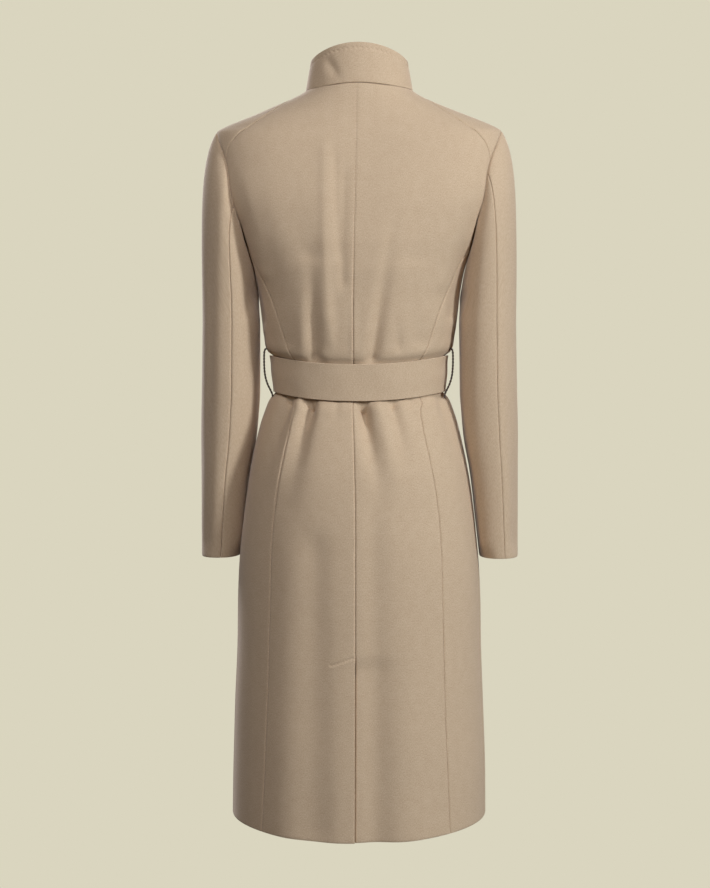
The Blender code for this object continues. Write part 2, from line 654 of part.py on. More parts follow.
def belt_knot(material):
    """The plain half-knot in front of the band."""
    width, depth, height = KNOT_SIZE
    middle = BELT_TOP - BELT_HEIGHT / 2
    band_face = belt_surface(turn_at_x(KNOT_X, middle, "front"), np.array(0.5))[1]
    bm = bmesh.new()
    bmesh.ops.create_cube(bm, size=1.0)
    bmesh.ops.scale(bm, vec=Vector(KNOT_SIZE) * MM, verts=bm.verts)
    bmesh.ops.bevel(bm, geom=bm.edges, offset=KNOT_ROUNDING * MM, segments=3, profile=0.5, affect="EDGES")
    bmesh.ops.translate(bm, vec=Vector((KNOT_X, band_face - KNOT_SEAT - depth / 2, middle)) * MM, verts=bm.verts)
    return finish_object("belt_knot", bm, material)


def belt_tail(name, x_top, x_bottom, length, material):
    """One hanging end of the belt, from below the knot, lying on the front of the skirt."""
    across = np.linspace(-0.5, 0.5, 5)[None, :]
    run = np.linspace(0, 1, 17)[:, None]
    start = BELT_TOP - BELT_HEIGHT / 2 - KNOT_SIZE[2] / 2 - SEAM_GAP
    height = start - run * length + 0 * across
    x = x_top + (x_bottom - x_top) * run + across * TAIL_WIDTH
    resting = np.array([body(turn_at_x(x[i], height[i], "front"), height[i])[..., 1] for i in range(len(run))])
    hanging = resting[:1].min() - 9.0
    y = np.minimum(resting - 1.0, hanging) - DOUBLED
    points = np.stack([x, y, height], axis=-1)
    outs = np.zeros_like(points) + (0, -1, 0)
    return cloth_wall(name, [(points, outs)], DOUBLED - 0.5, material, gap=0)


def belt_loop(side_name, side, material):
    """A thread loop that holds the belt at the side seam."""
    turn = np.radians(side * LOOP_TURN)
    waist = BELT_TOP - BELT_HEIGHT / 2
    route = np.array(LOOP_ROUTE + (LOOP_ENDS[side_name],))
    run = np.concatenate([[0], np.cumsum(np.linalg.norm(np.diff(route, axis=0), axis=1))])
    height, stand_off = smooth_columns(np.column_stack([run, route]).tolist(), np.linspace(0, run[-1], 25))
    out = normals(plain_body, turn, waist, 0.004, 0.5) * (1, 1, 0)
    points = plain_body(turn, waist) * (1, 1, 0) + out / np.linalg.norm(out) * stand_off[:, None]
    points[:, 2] = height - belt_sag(turn)
    name = f"belt_loop_{side_name}"
    curve = bpy.data.curves.new(name, "CURVE")
    curve.dimensions = "3D"
    curve.bevel_depth = LOOP_CORD / 2 * MM
    curve.bevel_resolution = 1
    curve.use_fill_caps = True
    spline = curve.splines.new("POLY")
    spline.points.add(len(points) - 1)
    for knot, point in zip(spline.points, points):
        knot.co = (*(Vector(point) * MM), 1)
    curve.materials.append(material)
    obj = bpy.data.objects.new(name, curve)
    bpy.context.collection.objects.link(obj)
    return obj


# ---------------------------------------------------------------- materials and the whole coat
def wool(name, rgb):
    material = bpy.data.materials.new(name)
    material.use_nodes = True
    shader = material.node_tree.nodes["Principled BSDF"]
    shader.inputs["Base Color"].default_value = (*rgb, 1)
    shader.inputs["Roughness"].default_value = 0.9
    shader.inputs["Metallic"].default_value = 0.0
    material.diffuse_color = (*rgb, 1)
    return material


def build_coat():
    cloth = wool("camel_wool", (0.42, 0.32, 0.22))
    thread = wool("dark_thread", (0.12, 0.08, 0.05))
    for name, side in (("left", 1), ("right", -1)):
        back = stepped_body(vent_step) if name == "right" else body
        body_piece(f"back_{name}", side, [back_patch(side)], back, cloth)
        body_piece(f"side_back_{name}", side, [side_back_patch()], body, cloth)
        front = stepped_body(under_front_step) if name == "left" else body
        reach = 0 if name == "right" else 1
        body_piece(f"front_{name}", side, front_patches(reach), front, cloth)
        back_seam = BACK_SLEEVE_TURN[name]
        sleeve_piece(f"sleeve_upper_{name}", side, FRONT_SLEEVE_TURN - 360, back_seam, cloth)
        sleeve_piece(f"sleeve_under_{name}", side, back_seam, FRONT_SLEEVE_TURN, cloth)
        belt_loop(name, side, thread)
    body_piece("vent_underlay", 1, [vent_underlay_patch()], stepped_body(underlay_step), cloth)
    collar(cloth)
    belt_band(cloth)
    belt_knot(cloth)
    for side, x_top, x_bottom, length in TAILS:
        belt_tail(f"belt_tail_{side}", x_top, x_bottom, length, cloth)


for old in list(bpy.data.objects):
    bpy.data.objects.remove(old)
build_coat()
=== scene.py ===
"""Looks of the wool wrap coat: fine cloth shells in place of its panels, sleeves, collar and belt.

Every panel is a wall cut from one coat surface, as in the coat's solids, with its seams rolled in,
its folds pressed in and its edges rounded. Tables are in millimetres; heights are above the side of
the neck, widths from the centre back, the front faces -Y and the wearer's left is +X.
"""

import bmesh
import bpy
import numpy as np
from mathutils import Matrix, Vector


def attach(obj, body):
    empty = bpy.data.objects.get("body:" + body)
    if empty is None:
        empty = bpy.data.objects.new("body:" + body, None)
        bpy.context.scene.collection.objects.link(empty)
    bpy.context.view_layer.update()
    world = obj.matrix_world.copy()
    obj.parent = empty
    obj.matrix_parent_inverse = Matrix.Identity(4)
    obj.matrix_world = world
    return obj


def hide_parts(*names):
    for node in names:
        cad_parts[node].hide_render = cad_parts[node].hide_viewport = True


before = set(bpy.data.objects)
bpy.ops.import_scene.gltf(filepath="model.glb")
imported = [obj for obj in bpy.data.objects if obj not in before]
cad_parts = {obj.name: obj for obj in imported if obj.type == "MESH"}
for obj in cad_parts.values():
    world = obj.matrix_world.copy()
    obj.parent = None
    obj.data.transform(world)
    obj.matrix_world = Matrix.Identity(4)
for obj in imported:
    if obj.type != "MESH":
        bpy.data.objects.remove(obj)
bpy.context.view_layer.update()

MM = 0.001
LEVEL = (1, 1, 0)       # leaves the level part of a direction
SEAM_GAP = 0.3          # between neighbouring pieces
DOUBLED = 4.5           # wall of the doubled collar
TOUCHING = 0.02         # points this close are one
GRID_STEP = 5.0         # spacing of the mesh away from the edges
EDGE_STEPS = (0.0, 0.8, 1.6, 2.7, 4.6)      # and the places of its lines next to an edge

SEAM_DROP = 1.2         # a sewn edge turns in this far
ARMHOLE_SEAM_DROP = 2.0
SEAM_REACH = 2.7        # over this width
EDGE_DROP = 0.5         # a free edge turns in this far
SEWN = (SEAM_DROP, SEAM_REACH)
FREE = (EDGE_DROP, 2.8) # depth and width of the turn at a free edge
SINGLE = (2.5, 0.8)     # wall of the single cloth and rounding of its cut edges
DOUBLED_ROUNDING = 1.7  # of the collar's folded edges
BAND = (3.3, 1.4)       # the same two for the belt round the waist, which is pulled tight
TAIL = (4.0, 1.4)       # and for its hanging ends
CRISP_ROUNDING = 0.3    # where a doubled piece is sewn on
SHARP_ANGLE = 0.9       # in radians, between the faces at a cut edge

SHOULDER_HIGH = 6.0     # the shoulders' surface lies between these heights
SHOULDER_LOW = -140.0
HEM = -1024.0
CUFF = -660.0
VENT_TOP = -784.0
VENT_RECESS = 3.2       # how far the right back steps in under the left one at the vent
VENT_UNDERLAP = 40.0
UNDERLAY_BELOW = 26.0   # the underlay starts this far below the top of the vent
VENT_CREVICE = 2.4      # how far the right back's edge turns in beside the vent
VENT_STITCH = ((2.0, -785.0), (34.0, -796.5))    # x, height: the ends of the stitching above the vent
VENT_STITCH_SPACING = 4.4
BACK_WIDTH = 125.0
BACK_NECK_SHARE = 0.5   # of a back's columns, those that end at the neckline
FRONT_WIDTH = 250.0
FRONT_SEAM_SHARE = 0.42 # of a front's columns, those that end at the shoulder seam
FINE_STEP = 1.5         # spacing of the mesh at fine stitching
WRAP_STEP = 5.5         # how far the left front steps in under the right one

# ---- the coat's level sections
SECTIONS = (
    # height, half_width, back_depth, front_depth, squareness
    (10, 68, 59, 51, 2),
    (0, 76, 62, 54, 2),
    (-5.7, 84, 64, 57, 2),
    (-28, 134, 70, 65, 2.05),
    (-54, 198, 79.5, 77.5, 2.1),
    (-61, 204, 83, 81, 2.35),
    (-93, 203, 93, 92, 2.75),
    (-150, 197, 107, 107, 2.8),
    (-196, 176, 113, 119, 2.7),
    (-224, 163.5, 115, 125, 2.6),
    (-253, 151.5, 115, 128, 2.5),
    (-279, 144.7, 113, 127, 2.45),
    (-292, 142.5, 112, 125, 2.4),
    (-325, 138.5, 109, 119, 2.35),
    (-345, 135.5, 106.5, 113, 2.3),
    (-369.8, 128.2, 101.6, 105.4, 2.3),
    (-373.5, 122.5, 96.5, 98.5, 2.3),
    (-400, 119.9, 96.3, 97.8, 2.3),
    (-425.8, 117, 96, 97, 2.3),
    (-430, 122.6, 100.8, 102.2, 2.3),
    (-454, 134.5, 109, 110, 2.3),
    (-494, 146, 119.5, 116, 2.3),
    (-537, 155, 130, 122, 2.25),
    (-611, 165, 138, 128, 2.2),
    (-668, 170.5, 140.5, 131, 2.2),
    (-796, 174, 143, 136, 2.2),
    (-939, 179, 150, 142, 2.2),
    (-1030, 180.5, 155, 146, 2.2),
)
HEM_DIP = 11.0          # the hem is this much lower at the centre back than at the sides
HEM_DIP_REACH = 260.0   # and the dip fades out this far above it
BELT_SAG = 12.6         # the waistline is this much lower at the centre back than at the sides
SAG_REACH = 110.0       # and the sag fades out this far above and below the waist
WAIST = -400.0

FOLDS = {
    # x_top, top, x_bottom, bottom, half_width_top, half_width_bottom, depth_top, depth_bottom;
    # a depth below zero is a ridge
    "back": (
        (65, -215, 57, -420, 8, 9, 0.5, 9),
        (17, -110, 19, -290, 7, 7, 1.5, 2.4),
        (-54, -175, -15, -420, 9, 9, 0.8, 9),
        (0, -405, -42, -600, 5.8, 17, 13, 0.8),
        (57, -405, 100, -600, 6, 18, 12, 1),
        (84, -400, 140, -570, 6, 14, 9, 0.8),
        (-108, -400, -142, -535, 7, 10, 6, 0.5),
        (-5, -408, -14, -480, 4.6, 6, 15, 0.5),
        (60, -408, 66, -478, 4.6, 6, 14.5, 0.5),
        (87, -406, 100, -455, 4.6, 6, 10, 0.5),
        (-44, -408, -50, -455, 3.5, 5, 8, 0.5),
        (-24, -540, -27, -1120, 17, 22, 3, 6),
        (55, -600, 58, -1060, 18, 24, 4, 3),
        (70, -250, 74, -368, 7, 8, -0.4, -2),
        (38, -235, 36, -368, 7, 8, -0.4, -2.2),
        (3, -300, 4, -372, 5, 6, -0.3, -1.2),
        (-54, -318, -60, -372, 4, 5, 0.4, 3),
        (-80, -300, -88, -366, 9, 10, 0.3, 2),
        (92, -310, 96, -366, 6, 7, 0.3, 1.8),
        (165, -180, 134, -340, 5, 6, 2, 4.2),
        (160, -110, 124, -275, 7, 8, -1.2, -3.4),
        (-150, -215, -128, -330, 5, 6, 1.5, 3),
        (-146, -150, -116, -290, 8, 8, -0.8, -2.4),
        (44, -70, 42, -345, 9, 8, -1.6, -2.6),
        (30, -90, 24, -250, 5, 6, 1, 1.6),
        (100, -120, 62, -250, 24, 20, 0.6, 2.2),
        (-104, -120, -70, -255, 24, 20, 0.4, 1.6),
        (-42, -408, -74, -540, 4.5, 11, 8, 0.5),
        (24, -424, 30, -470, 5, 8, 2.2, 0.3),
        (-72, -420, -84, -480, 5, 8, 2.6, 0.3),
        (71, -412, 116, -560, 5, 10, -3, -0.6),
        (-22, -412, -58, -560, 5, 11, -3, -0.6),
        (62, -418, 70, -440, 3, 4, 3, 0.3),
        (-8, -560, -12, -1120, 14, 18, -0.6, -1.8),
        (-70, -600, -74, -1120, 24, 30, -0.6, -2.2),
        (90, -600, 96, -1120, 18, 24, -0.6, -2),
        (24, -700, 26, -1120, 14, 18, -0.4, -1.6),
    ),
    "front": (
        (62, -230, 46, -400, 15, 16, 0.5, 5),
        (-66, -220, -40, -400, 15, 16, 0.5, 5),
        (36, -412, 60, -570, 14, 19, 5.5, 0.5),
        (-46, -412, -78, -585, 14, 19, 6, 0.5),
        (30, -640, 34, -1120, 22, 26, 1, 4.5),
        (-84, -640, -90, -1120, 20, 24, 1, 4),
        (30, -260, 22, -368, 9, 8, -0.4, -2),
        (88, -250, 70, -368, 8, 9, 0.4, 2.6),
        (-20, -290, -12, -370, 7, 7, 0.4, 2.4),
        (-94, -270, -76, -366, 9, 9, 0.3, 2.8),
        (104, -130, 70, -236, 22, 20, 0.5, 2),
        (-100, -140, -64, -240, 22, 20, 0.5, 2),
        (8, -424, 14, -490, 5, 9, 2.6, 0.4),
        (-22, -424, -36, -520, 6, 10, 3.2, 0.4),
        (64, -424, 96, -540, 7, 12, 3.6, 0.4),
        (-88, -424, -118, -530, 7, 11, 3.2, 0.4),
        (62, -600, 70, -1120, 20, 26, -0.5, -2.2),
        (-40, -620, -46, -1120, 18, 26, -0.5, -2),
        (112, -700, 116, -1120, 14, 18, 0.4, 2.6),
    ),
}
SLEEVE_FOLDS = {
    # turn_top, run_top, turn_bottom, run_bottom, half_turn, depth_top, depth_bottom, in degrees and mm
    "left": (
        (60, 0.25, 48, 1.65, 13, 0.6, 2.6),
        (128, 0.55, 140, 1.45, 12, 2.4, 0.6),
        (150, 0.30, 118, 1.10, 10, 1.8, 1),
        (100, 0.15, 84, 0.85, 14, 1.4, 0.6),
        (200, 0.55, 235, 1.35, 12, 3.4, 0.8),
        (250, 0.35, 280, 1.30, 13, 2, 1.6),
        (310, 0.25, 300, 1.75, 15, 0.8, 2.4),
        (20, 0.70, 26, 1.90, 14, 0.6, 1.6),
        (170, 1.10, 165, 1.90, 16, 0.8, 1.8),
        (58, 0.35, 58, 2.60, 21, 1.5, 3.2),
        (148, 0.45, 148, 2.60, 24, -1.5, -4),
    ),
    "right": (
        (52, 0.30, 44, 1.80, 14, 0.6, 2),
        (120, 0.60, 132, 1.60, 12, 2, 0.8),
        (155, 0.30, 122, 1.20, 10, 2.2, 1),
        (92, 0.20, 80, 0.95, 14, 1.2, 0.6),
        (205, 0.60, 238, 1.30, 12, 3.2, 0.8),
        (255, 0.30, 284, 1.40, 13, 2, 1.4),
        (315, 0.30, 306, 1.70, 15, 0.8, 2.2),
        (12, 0.80, 22, 1.90, 14, 0.6, 1.4),
        (175, 1.00, 168, 1.85, 16, 0.8, 1.8),
        (38, 0.35, 38, 2.60, 21, 1.5, 3.2),
        (132, 0.45, 132, 2.60, 24, -1.5, -5),
    ),
}

# ---- seam lines
PRINCESS = (
    # height, x
    (-1024, 130),
    (-925, 125.7),
    (-830, 122),
    (-728, 119.5),
    (-648, 117.5),
    (-597, 114),
    (-555, 108.5),
    (-503, 98),
    (-468, 90.5),
    (-436, 85.5),
    (-405, 86),
    (-378, 91),
    (-346, 102.5),
    (-302, 118),
    (-262, 136),
)
CENTRE_BACK = (
    # height, x
    (-1024, 0),
    (-620, 0),
    (-400, 4.5),
    (-120, 4),
    (10, 6),
)
SIDE_SEAM_BACK = 10.0   # degrees that the side seam lies behind the widest line, from the belt down
NECK_HALF_WIDTH = 76.0
NECK_BACK = 60.6
NECK_FRONT = 80.0
NECK_SIDE = 90.0        # plan angle where the shoulder seam meets the neckline
SHOULDER_SEAM = (
    # x, y: from where the seam leaves the ridge to near the back edge of the armhole
    (90, 0),
    (100, 21),
    (116, 38),
    (131, 46),
    (143, 51),
    (156, 56),
    (170, 57.5),
)
WRAP_EDGE = (
    # height, x of the right front's edge, how far the left front reaches past the centre front
    (-1024, 104, 70),
    (-700, 100, 68),
    (-400, 84, 58),
    (-300, 66, 45),
    (-180, 36, 28),
    (-58, 11, 11),
)
NECK_LAP = 11.0         # each front and collar end passes the centre front by this much
NECK_END = 180 + np.degrees(np.arcsin(NECK_LAP / NECK_HALF_WIDTH))
SHAPED_ABOVE = -345.0   # rows run level below this height and follow the yoke above it
YOKE_FULL = -130.0      # the height where the front's rows have taken the yoke's shape in full

# ---- armhole and sleeves
ARMHOLE_TOP = -54.0
ARMHOLE_BOTTOM = -292.0
ARMHOLE_BACK = 66.0
ARMHOLE_FRONT = 61.0
ARMHOLE_DROP = 1.3      # powers that shape the armhole: how fast it falls from its top
ARMHOLE_CURVE = 1.9     # and how late it swings out to its back and front
ARMHOLE_LENGTH_PER_DEGREE = 1.6
SHOULDER_TURN = 66.0    # armhole turn where the shoulder seam ends
PRINCESS_TURN = 123.0   # armhole turn where the curved back seam ends
FRONT_SLEEVE_TURN = 235.0
BACK_SLEEVE_TURN = {"left": 98.0, "right": 77.0}
SLEEVE_SECTIONS = (
    # height, inner_x, outer_x, back_y, front_y
    (-330, 142, 223, 66, -64),
    (-425, 142.5, 225, 62, -70),
    (-454, 144.5, 225.8, 60, -72),
    (-494, 148.5, 226.4, 57, -74),
    (-537, 156.5, 226.4, 53, -76),
    (-611, 166, 226.4, 45, -79),
    (-660, 171.5, 226.4, 40, -80),
)
SLEEVE_SQUARENESS = 2.3
CROWN_SPREAD = 1.2      # power that keeps the sleeve head's fullness near the shoulder
CROWN_FULLNESS = 0.22   # how far the sleeve head swings out, as a share of its length
SLEEVE_CAP_LENGTH = 180.0
SLEEVE_LENGTH_PER_DEGREE = 0.95
SLEEVE_GAP = 0.5        # between the sleeves' pieces and at the armhole

# ---- collar and belt
COLLAR_LEAN = 7.0       # the collar's top is this much narrower on each side than its base
COLLAR_TOP_SIDE = 40.5
COLLAR_RISE_BACK = 21.0
COLLAR_DROP_FRONT = 40.0
COLLAR_SEAM = 0.1       # above the neckline
COLLAR_SEAM_DROP = 0.9
COLLAR_GAP = 0.06       # it is sewn closer than the panels are
COLLAR_CRISP_BELOW = 20.0       # height below which its edges are the sewn ones
NAPE_SEAM = (34.0, 52.0)        # x where the collar's seam starts to soften and where it is soft
COLLAR_EDGE_CURVE = 1.6 # power that shapes the collar's top edge from side to back
COLLAR_DENT = 2.6       # at the left of the nape
COLLAR_LAP_FADE = (16.0, 4.0)   # degrees before its left end where that end starts and stops to sink
COLLAR_LAP_GAP = 0.7
PICK_SPACING = 7.0      # of the hand stitches below the collar's top edge
PICK_BELOW_EDGE = 8.0
BELT_TOP = -374.0
BELT_HEIGHT = 51.0
BELT_EASE = 0.8
BELT_EDGE_REACH = 4.0   # the folds run out this far above and below the belt
KNOT_X = 30.0
KNOT_SIZE = (64.0, 22.0, 62.0)
KNOT_SEAT = 2.5         # the knot's flat back stands this far in front of the belt's middle face
KNOT_FOLD_OVER = 5.5    # step down from the band that is folded over the knot
KNOT_CORNERS = 3.4      # power that makes the block's corners round
BELT_PLEATS = ((0.3, 0.07, 1.7), (0.55, 0.06, 1.4), (0.78, 0.06, 1.1))      # place, half width, depth
KNOT_PLEATS = ((-0.44, 0.05, 2.2), (-0.17, 0.06, 3.0), (0.14, 0.05, 2.4), (0.4, 0.05, 2.8))
TAIL_PLEATS = ((-0.3, 0.08, 2.2), (0.02, 0.12, 4.5), (0.33, 0.07, 2.6))
TAIL_WIDTH = 46.0
TAILS = (
    # side, x_top, x_bottom, length
    ("left", 57, 84, 300),
    ("right", 4, -12, 330),
)
LOOP_CORD = 3.0
LOOP_LAY = 4.5          # the twisted strands look the same again after this length
LOOP_TURN = 76.0
LOOP_ROUTE = (
    # height, how far the cord's middle stands outside the waist of the coat
    (-366.8, 10.3),
    (-363.9, 11.8),
    (-364.4, 14.4),
    (-369, 16.3),
    (-379, 16.6),
    (-392.5, 16.2),
    (-404, 14.7),
    (-415, 11.2),
    (-423, 7.2),
    (-427.5, 5.2),
)
LOOP_ENDS = {"left": (-431.2, 4.1), "right": (-433.4, 4.1)}     # the lower ends, on the coat


# ---- curves through the tables
def smooth_columns(table, at):
    """Reads every column of a table at the given values of its first one, with no overshoot."""
    rows = np.array(sorted(table))
    x = rows[:, 0]
    step = np.diff(x)
    slope = np.diff(rows[:, 1:], axis=0) / step[:, None]
    tangent = np.vstack([slope[:1], (slope[1:] + slope[:-1]) / 2, slope[-1:]])
    turning = slope[1:] * slope[:-1] <= 0
    tangent[1:-1][turning] = 0
    low = np.minimum(np.abs(slope[1:]), np.abs(slope[:-1])) * 3
    tangent[1:-1] = np.clip(tangent[1:-1], -low, low)
    at = np.clip(np.asarray(at, float), x[0], x[-1])
    i = np.clip(np.searchsorted(x, at) - 1, 0, len(x) - 2)
    t = ((at - x[i]) / step[i])[..., None]
    h = step[i][..., None]
    value = rows[:, 1:]
    return np.moveaxis(hermite(t, value[i], h * tangent[i], value[i + 1], h * tangent[i + 1]), -1, 0)


def travelled(points):
    """The distance along a line at each of its points."""
    return np.concatenate([[0], np.cumsum(np.linalg.norm(np.diff(points, axis=0), axis=1))])


def hermite(t, start, leaving, end, arriving):
    """The curve from start to end that leaves and arrives with the given slopes; t runs from 0 to 1."""
    return ((2 * t**3 - 3 * t**2 + 1) * start + (t**3 - 2 * t**2 + t) * leaving
            + (3 * t**2 - 2 * t**3) * end + (t**3 - t**2) * arriving)


def mix(start, end, share):
    return start + (end - start) * share


def signed_power(value, power):
    """A power of the number's size with the number's own sign."""
    return np.sign(value) * np.abs(value) ** power


def unit(vectors):
    return vectors / np.linalg.norm(vectors, axis=-1, keepdims=True)


def ease(value, start, end):
    t = np.clip((np.asarray(value, float) - start) / (end - start), 0, 1)
    return t * t * (3 - 2 * t)


def hump(value, centre, half_width):
    return np.exp(-((value - centre) / half_width) ** 2)


def pleats(value, table):
    """Adds up the pleats of a table of places, half widths and depths."""
    return sum(depth * hump(value, centre, half_width) for centre, half_width, depth in table)


def spaced(length, step=GRID_STEP):
    """Fractions of a length, closer together near both of its ends."""
    near = np.array(EDGE_STEPS)
    inner = length - 2 * near[-1]
    count = max(int(round(inner / step)), 1)
    middle = near[-1] + inner * np.arange(1, count) / count
    return np.concatenate([near, middle, length - near[::-1]]) / length


# ---- the coat's surface
def belt_sag(turn):
    return BELT_SAG * np.where(np.cos(turn) > 0, np.cos(turn) ** 2, 0)


def waist_sag(turn, height):
    return belt_sag(turn) * (1 - ease(np.abs(height - WAIST), 0.35 * SAG_REACH, SAG_REACH))


def hem_dip(turn, height):
    return HEM_DIP / BELT_SAG * belt_sag(turn) * ease(height, HEM + HEM_DIP_REACH, HEM)


def plain_body(turn, height):
    """A point of the coat before its folds; turn 0 is the centre back, 90 degrees the left side."""
    width, back, front, square = smooth_columns(SECTIONS, height + waist_sag(turn, height))
    x = width * signed_power(np.sin(turn), 2 / square)
    y = np.where(np.cos(turn) > 0, back, front) * signed_power(np.cos(turn), 2 / square)
    return np.stack([x, y, height + 0 * x], axis=-1)


def normals(surface, u, v, du=0.004, dv=0.5):
    along_u = surface(u + du, v) - surface(u - du, v)
    along_v = surface(u, v + dv) - surface(u, v - dv)
    return unit(np.cross(along_v, along_u))


def fold_depth(turn, height, x):
    """How far the folds draw the cloth in at a point of the plain body."""
    depth = 0 * x
    for face, sign in (("back", 1), ("front", -1)):
        facing = ease(np.cos(turn) * sign, 0, 0.25)
        for x_top, top, x_bottom, bottom, wide_top, wide_bottom, deep_top, deep_bottom in FOLDS[face]:
            t = (top - height) / (top - bottom)
            half_width = mix(wide_top, wide_bottom, np.clip(t, 0, 1))
            deep = mix(deep_top, deep_bottom, ease(t, 0, 1))
            along = ease(t, 0, 0.1) * (1 - ease(t, 0.9, 1))
            depth = depth + deep * along * facing * hump(x, mix(x_top, x_bottom, t), half_width)
    return depth


def unevenness(x, height):
    """The slight unrest of cloth that hangs free."""
    return (0.35 * np.sin(x / 17 + height / 53 + 1.3) * np.sin(height / 71 - x / 90)
            + 0.25 * np.sin(x / 29 - height / 37 + 0.4) * np.sin(height / 43 + 2.1))


def clear_of_belt(turn, height):
    """0 where the belt presses the cloth flat, 1 beyond its edges."""
    from_middle = np.abs(height + belt_sag(turn) - (BELT_TOP - BELT_HEIGHT / 2))
    return ease(from_middle, BELT_HEIGHT / 2, BELT_HEIGHT / 2 + BELT_EDGE_REACH)


def body(turn, height):
    plain = plain_body(turn, height)
    out = normals(plain_body, turn, height)
    folds = fold_depth(turn, height, plain[..., 0]) + unevenness(plain[..., 0], height)
    return plain - out * (folds * clear_of_belt(turn, height))[..., None]


def stepped_body(step):
    """The coat's surface with a piece's own step below its neighbour."""
    def surface(turn, height):
        plain = body(turn, height)
        return plain - normals(body, turn, height) * step(turn, height)[..., None]
    return surface


def stitched_back(turn, height):
    """The left back, drawn in along the slanting row of stitches that holds the vent's underlay."""
    plain = body(turn, height)
    start, end = np.array(VENT_STITCH)
    length = np.linalg.norm(end - start)
    along_x, along_z = (end - start) / length
    x, z = plain[..., 0] - start[0], height - start[1]
    along, off = x * along_x + z * along_z, z * along_x - x * along_z
    within = ease(along, -2, 1) * (1 - ease(along, length - 1, length + 2))
    nearest = along % VENT_STITCH_SPACING - VENT_STITCH_SPACING / 2
    depth = within * hump(off, 0, 1.7) * (0.7 + 0.5 * hump(nearest, 0, 1.3))
    depth = depth - 0.35 * within * hump(off, -3.6, 2.4)
    return plain - normals(body, turn, height) * depth[..., None]


def vent_step(turn, height):
    """The right back sinks towards the vent's edge, and the underlay stays at that depth."""
    beside = ease(np.degrees(turn), -24, -3)
    return VENT_RECESS * beside * ease(height, VENT_TOP + 6, VENT_TOP - 22)


def underlay_step(turn, height):
    return VENT_RECESS + 0 * turn


def under_front_step(turn, height):
    """The left front sinks before it passes under the right front's edge."""
    x = plain_body(turn, height)[..., 0]
    edge = smooth_columns(WRAP_EDGE, height)[0]
    return WRAP_STEP * ease(edge - x, -26, -4) * ease(np.cos(turn), 0.1, -0.1)


# ---- places on the surface
def halved(low, high, inside):
    """Closes in on where inside(value) turns false, between low, where it holds, and high."""
    for _ in range(40):
        middle = (low + high) / 2
        within = inside(middle)
        low, high = np.where(within, middle, low), np.where(within, high, middle)
    return low


def turn_at_x(x, height, face="back"):
    """The turn at which the plain body has the given x on its back or front face."""
    start = np.full(np.shape(x), 0.0 if face == "back" else np.pi)
    turn = halved(start, 0 * start + np.pi / 2, lambda at: plain_body(at, height)[..., 0] < np.abs(x))
    return np.sign(x) * turn if face == "back" else turn


def turn_at_y(y, height):
    width, back, front, square = smooth_columns(SECTIONS, height)
    ratio = np.clip(np.where(y > 0, y / back, y / front), -1, 1)
    return np.arccos(signed_power(ratio, square / 2))


def armhole(turn_degrees):
    """The left armhole as turn and height on the body; 0 is its top, 90 its back, 180 its bottom."""
    angle = np.radians(np.asarray(turn_degrees, float))
    drop = ((1 - np.cos(angle)) / 2) ** ARMHOLE_DROP
    height = mix(ARMHOLE_TOP, ARMHOLE_BOTTOM, drop)
    reach = np.where(np.sin(angle) > 0, ARMHOLE_BACK, ARMHOLE_FRONT)
    y = reach * signed_power(np.sin(angle), ARMHOLE_CURVE)
    return turn_at_y(np.where(np.abs(y) < 1e-6, 0, y), height), height


def height_on_top(x, y):
    """The height at which the shoulder passes over a point of the plan."""
    def covers(height):
        width, back, front, square = smooth_columns(SECTIONS, height)
        depth = np.where(y > 0, back, front)
        return (np.abs(x) / width) ** square + (np.abs(y) / depth) ** square < 1
    return halved(np.full(np.shape(x), SHOULDER_LOW), np.full(np.shape(x), SHOULDER_HIGH), covers)


def neckline(plan_degrees):
    """The neckline as turn and height on the body, from its angle in plan."""
    angle = np.radians(np.asarray(plan_degrees, float))
    x = NECK_HALF_WIDTH * np.sin(angle)
    y = np.where(np.cos(angle) > 0, NECK_BACK, NECK_FRONT) * np.cos(angle)
    height = height_on_top(x, y)
    turn = turn_at_y(y, height)
    return np.where(x < 0, np.where(angle > 0, 2 * np.pi - turn, -turn), turn), height


# ---- patches between seam lines
def patch(left, right, top, across):
    """Fills the patch between two side lines and a top line, each an array of two coordinates."""
    left, right, top = np.array(left), np.array(right), np.array(top)
    across = across[None, :, None]
    rise = np.clip((left[:, 1] - SHAPED_ABOVE) / (left[-1, 1] - SHAPED_ABOVE), 0, 1)[:, None, None]
    rows = left[:, None] * (1 - across) + right[:, None] * across
    return rows + rise * (top[None] - rows[-1:])


def seen_square(line):
    """A line of (turn, height) as x and height, the way it looks from straight behind or in front."""
    turn, height = np.array(line).T
    return np.stack([plain_body(turn, height)[..., 0], height], axis=-1)


def on_face(rows, face):
    """The reverse of seen_square, for points on the back or on the front."""
    x, height = rows[..., 0], rows[..., 1]
    turn = turn_at_x(x if face == "back" else np.abs(x), height, face)
    if face == "front":
        turn = np.where(x < 0, 2 * np.pi - turn, turn)
    return np.stack([turn, height], axis=-1)


def with_edges(rows, left, right, top):
    rows[:, 0], rows[:, -1], rows[-1] = left, right, top
    return rows


# ---- seam lines as (turn, height)
def line(turn, height):
    return np.stack(np.broadcast_arrays(turn, height), axis=-1)


def armhole_line(start, end):
    share = spaced(abs(end - start) * ARMHOLE_LENGTH_PER_DEGREE)
    return line(*armhole(mix(start, end, share)))


def row_heights():
    """The level rows, from the hem to where the curved back seam meets the armhole."""
    top = float(armhole(PRINCESS_TURN)[1])
    rows = mix(HEM, top, spaced(top - HEM))
    stitched = np.arange(VENT_STITCH[1][1] - 5, VENT_STITCH[0][1] + 5, FINE_STEP)
    return np.unique(np.round(np.concatenate([rows, stitched]), 3))


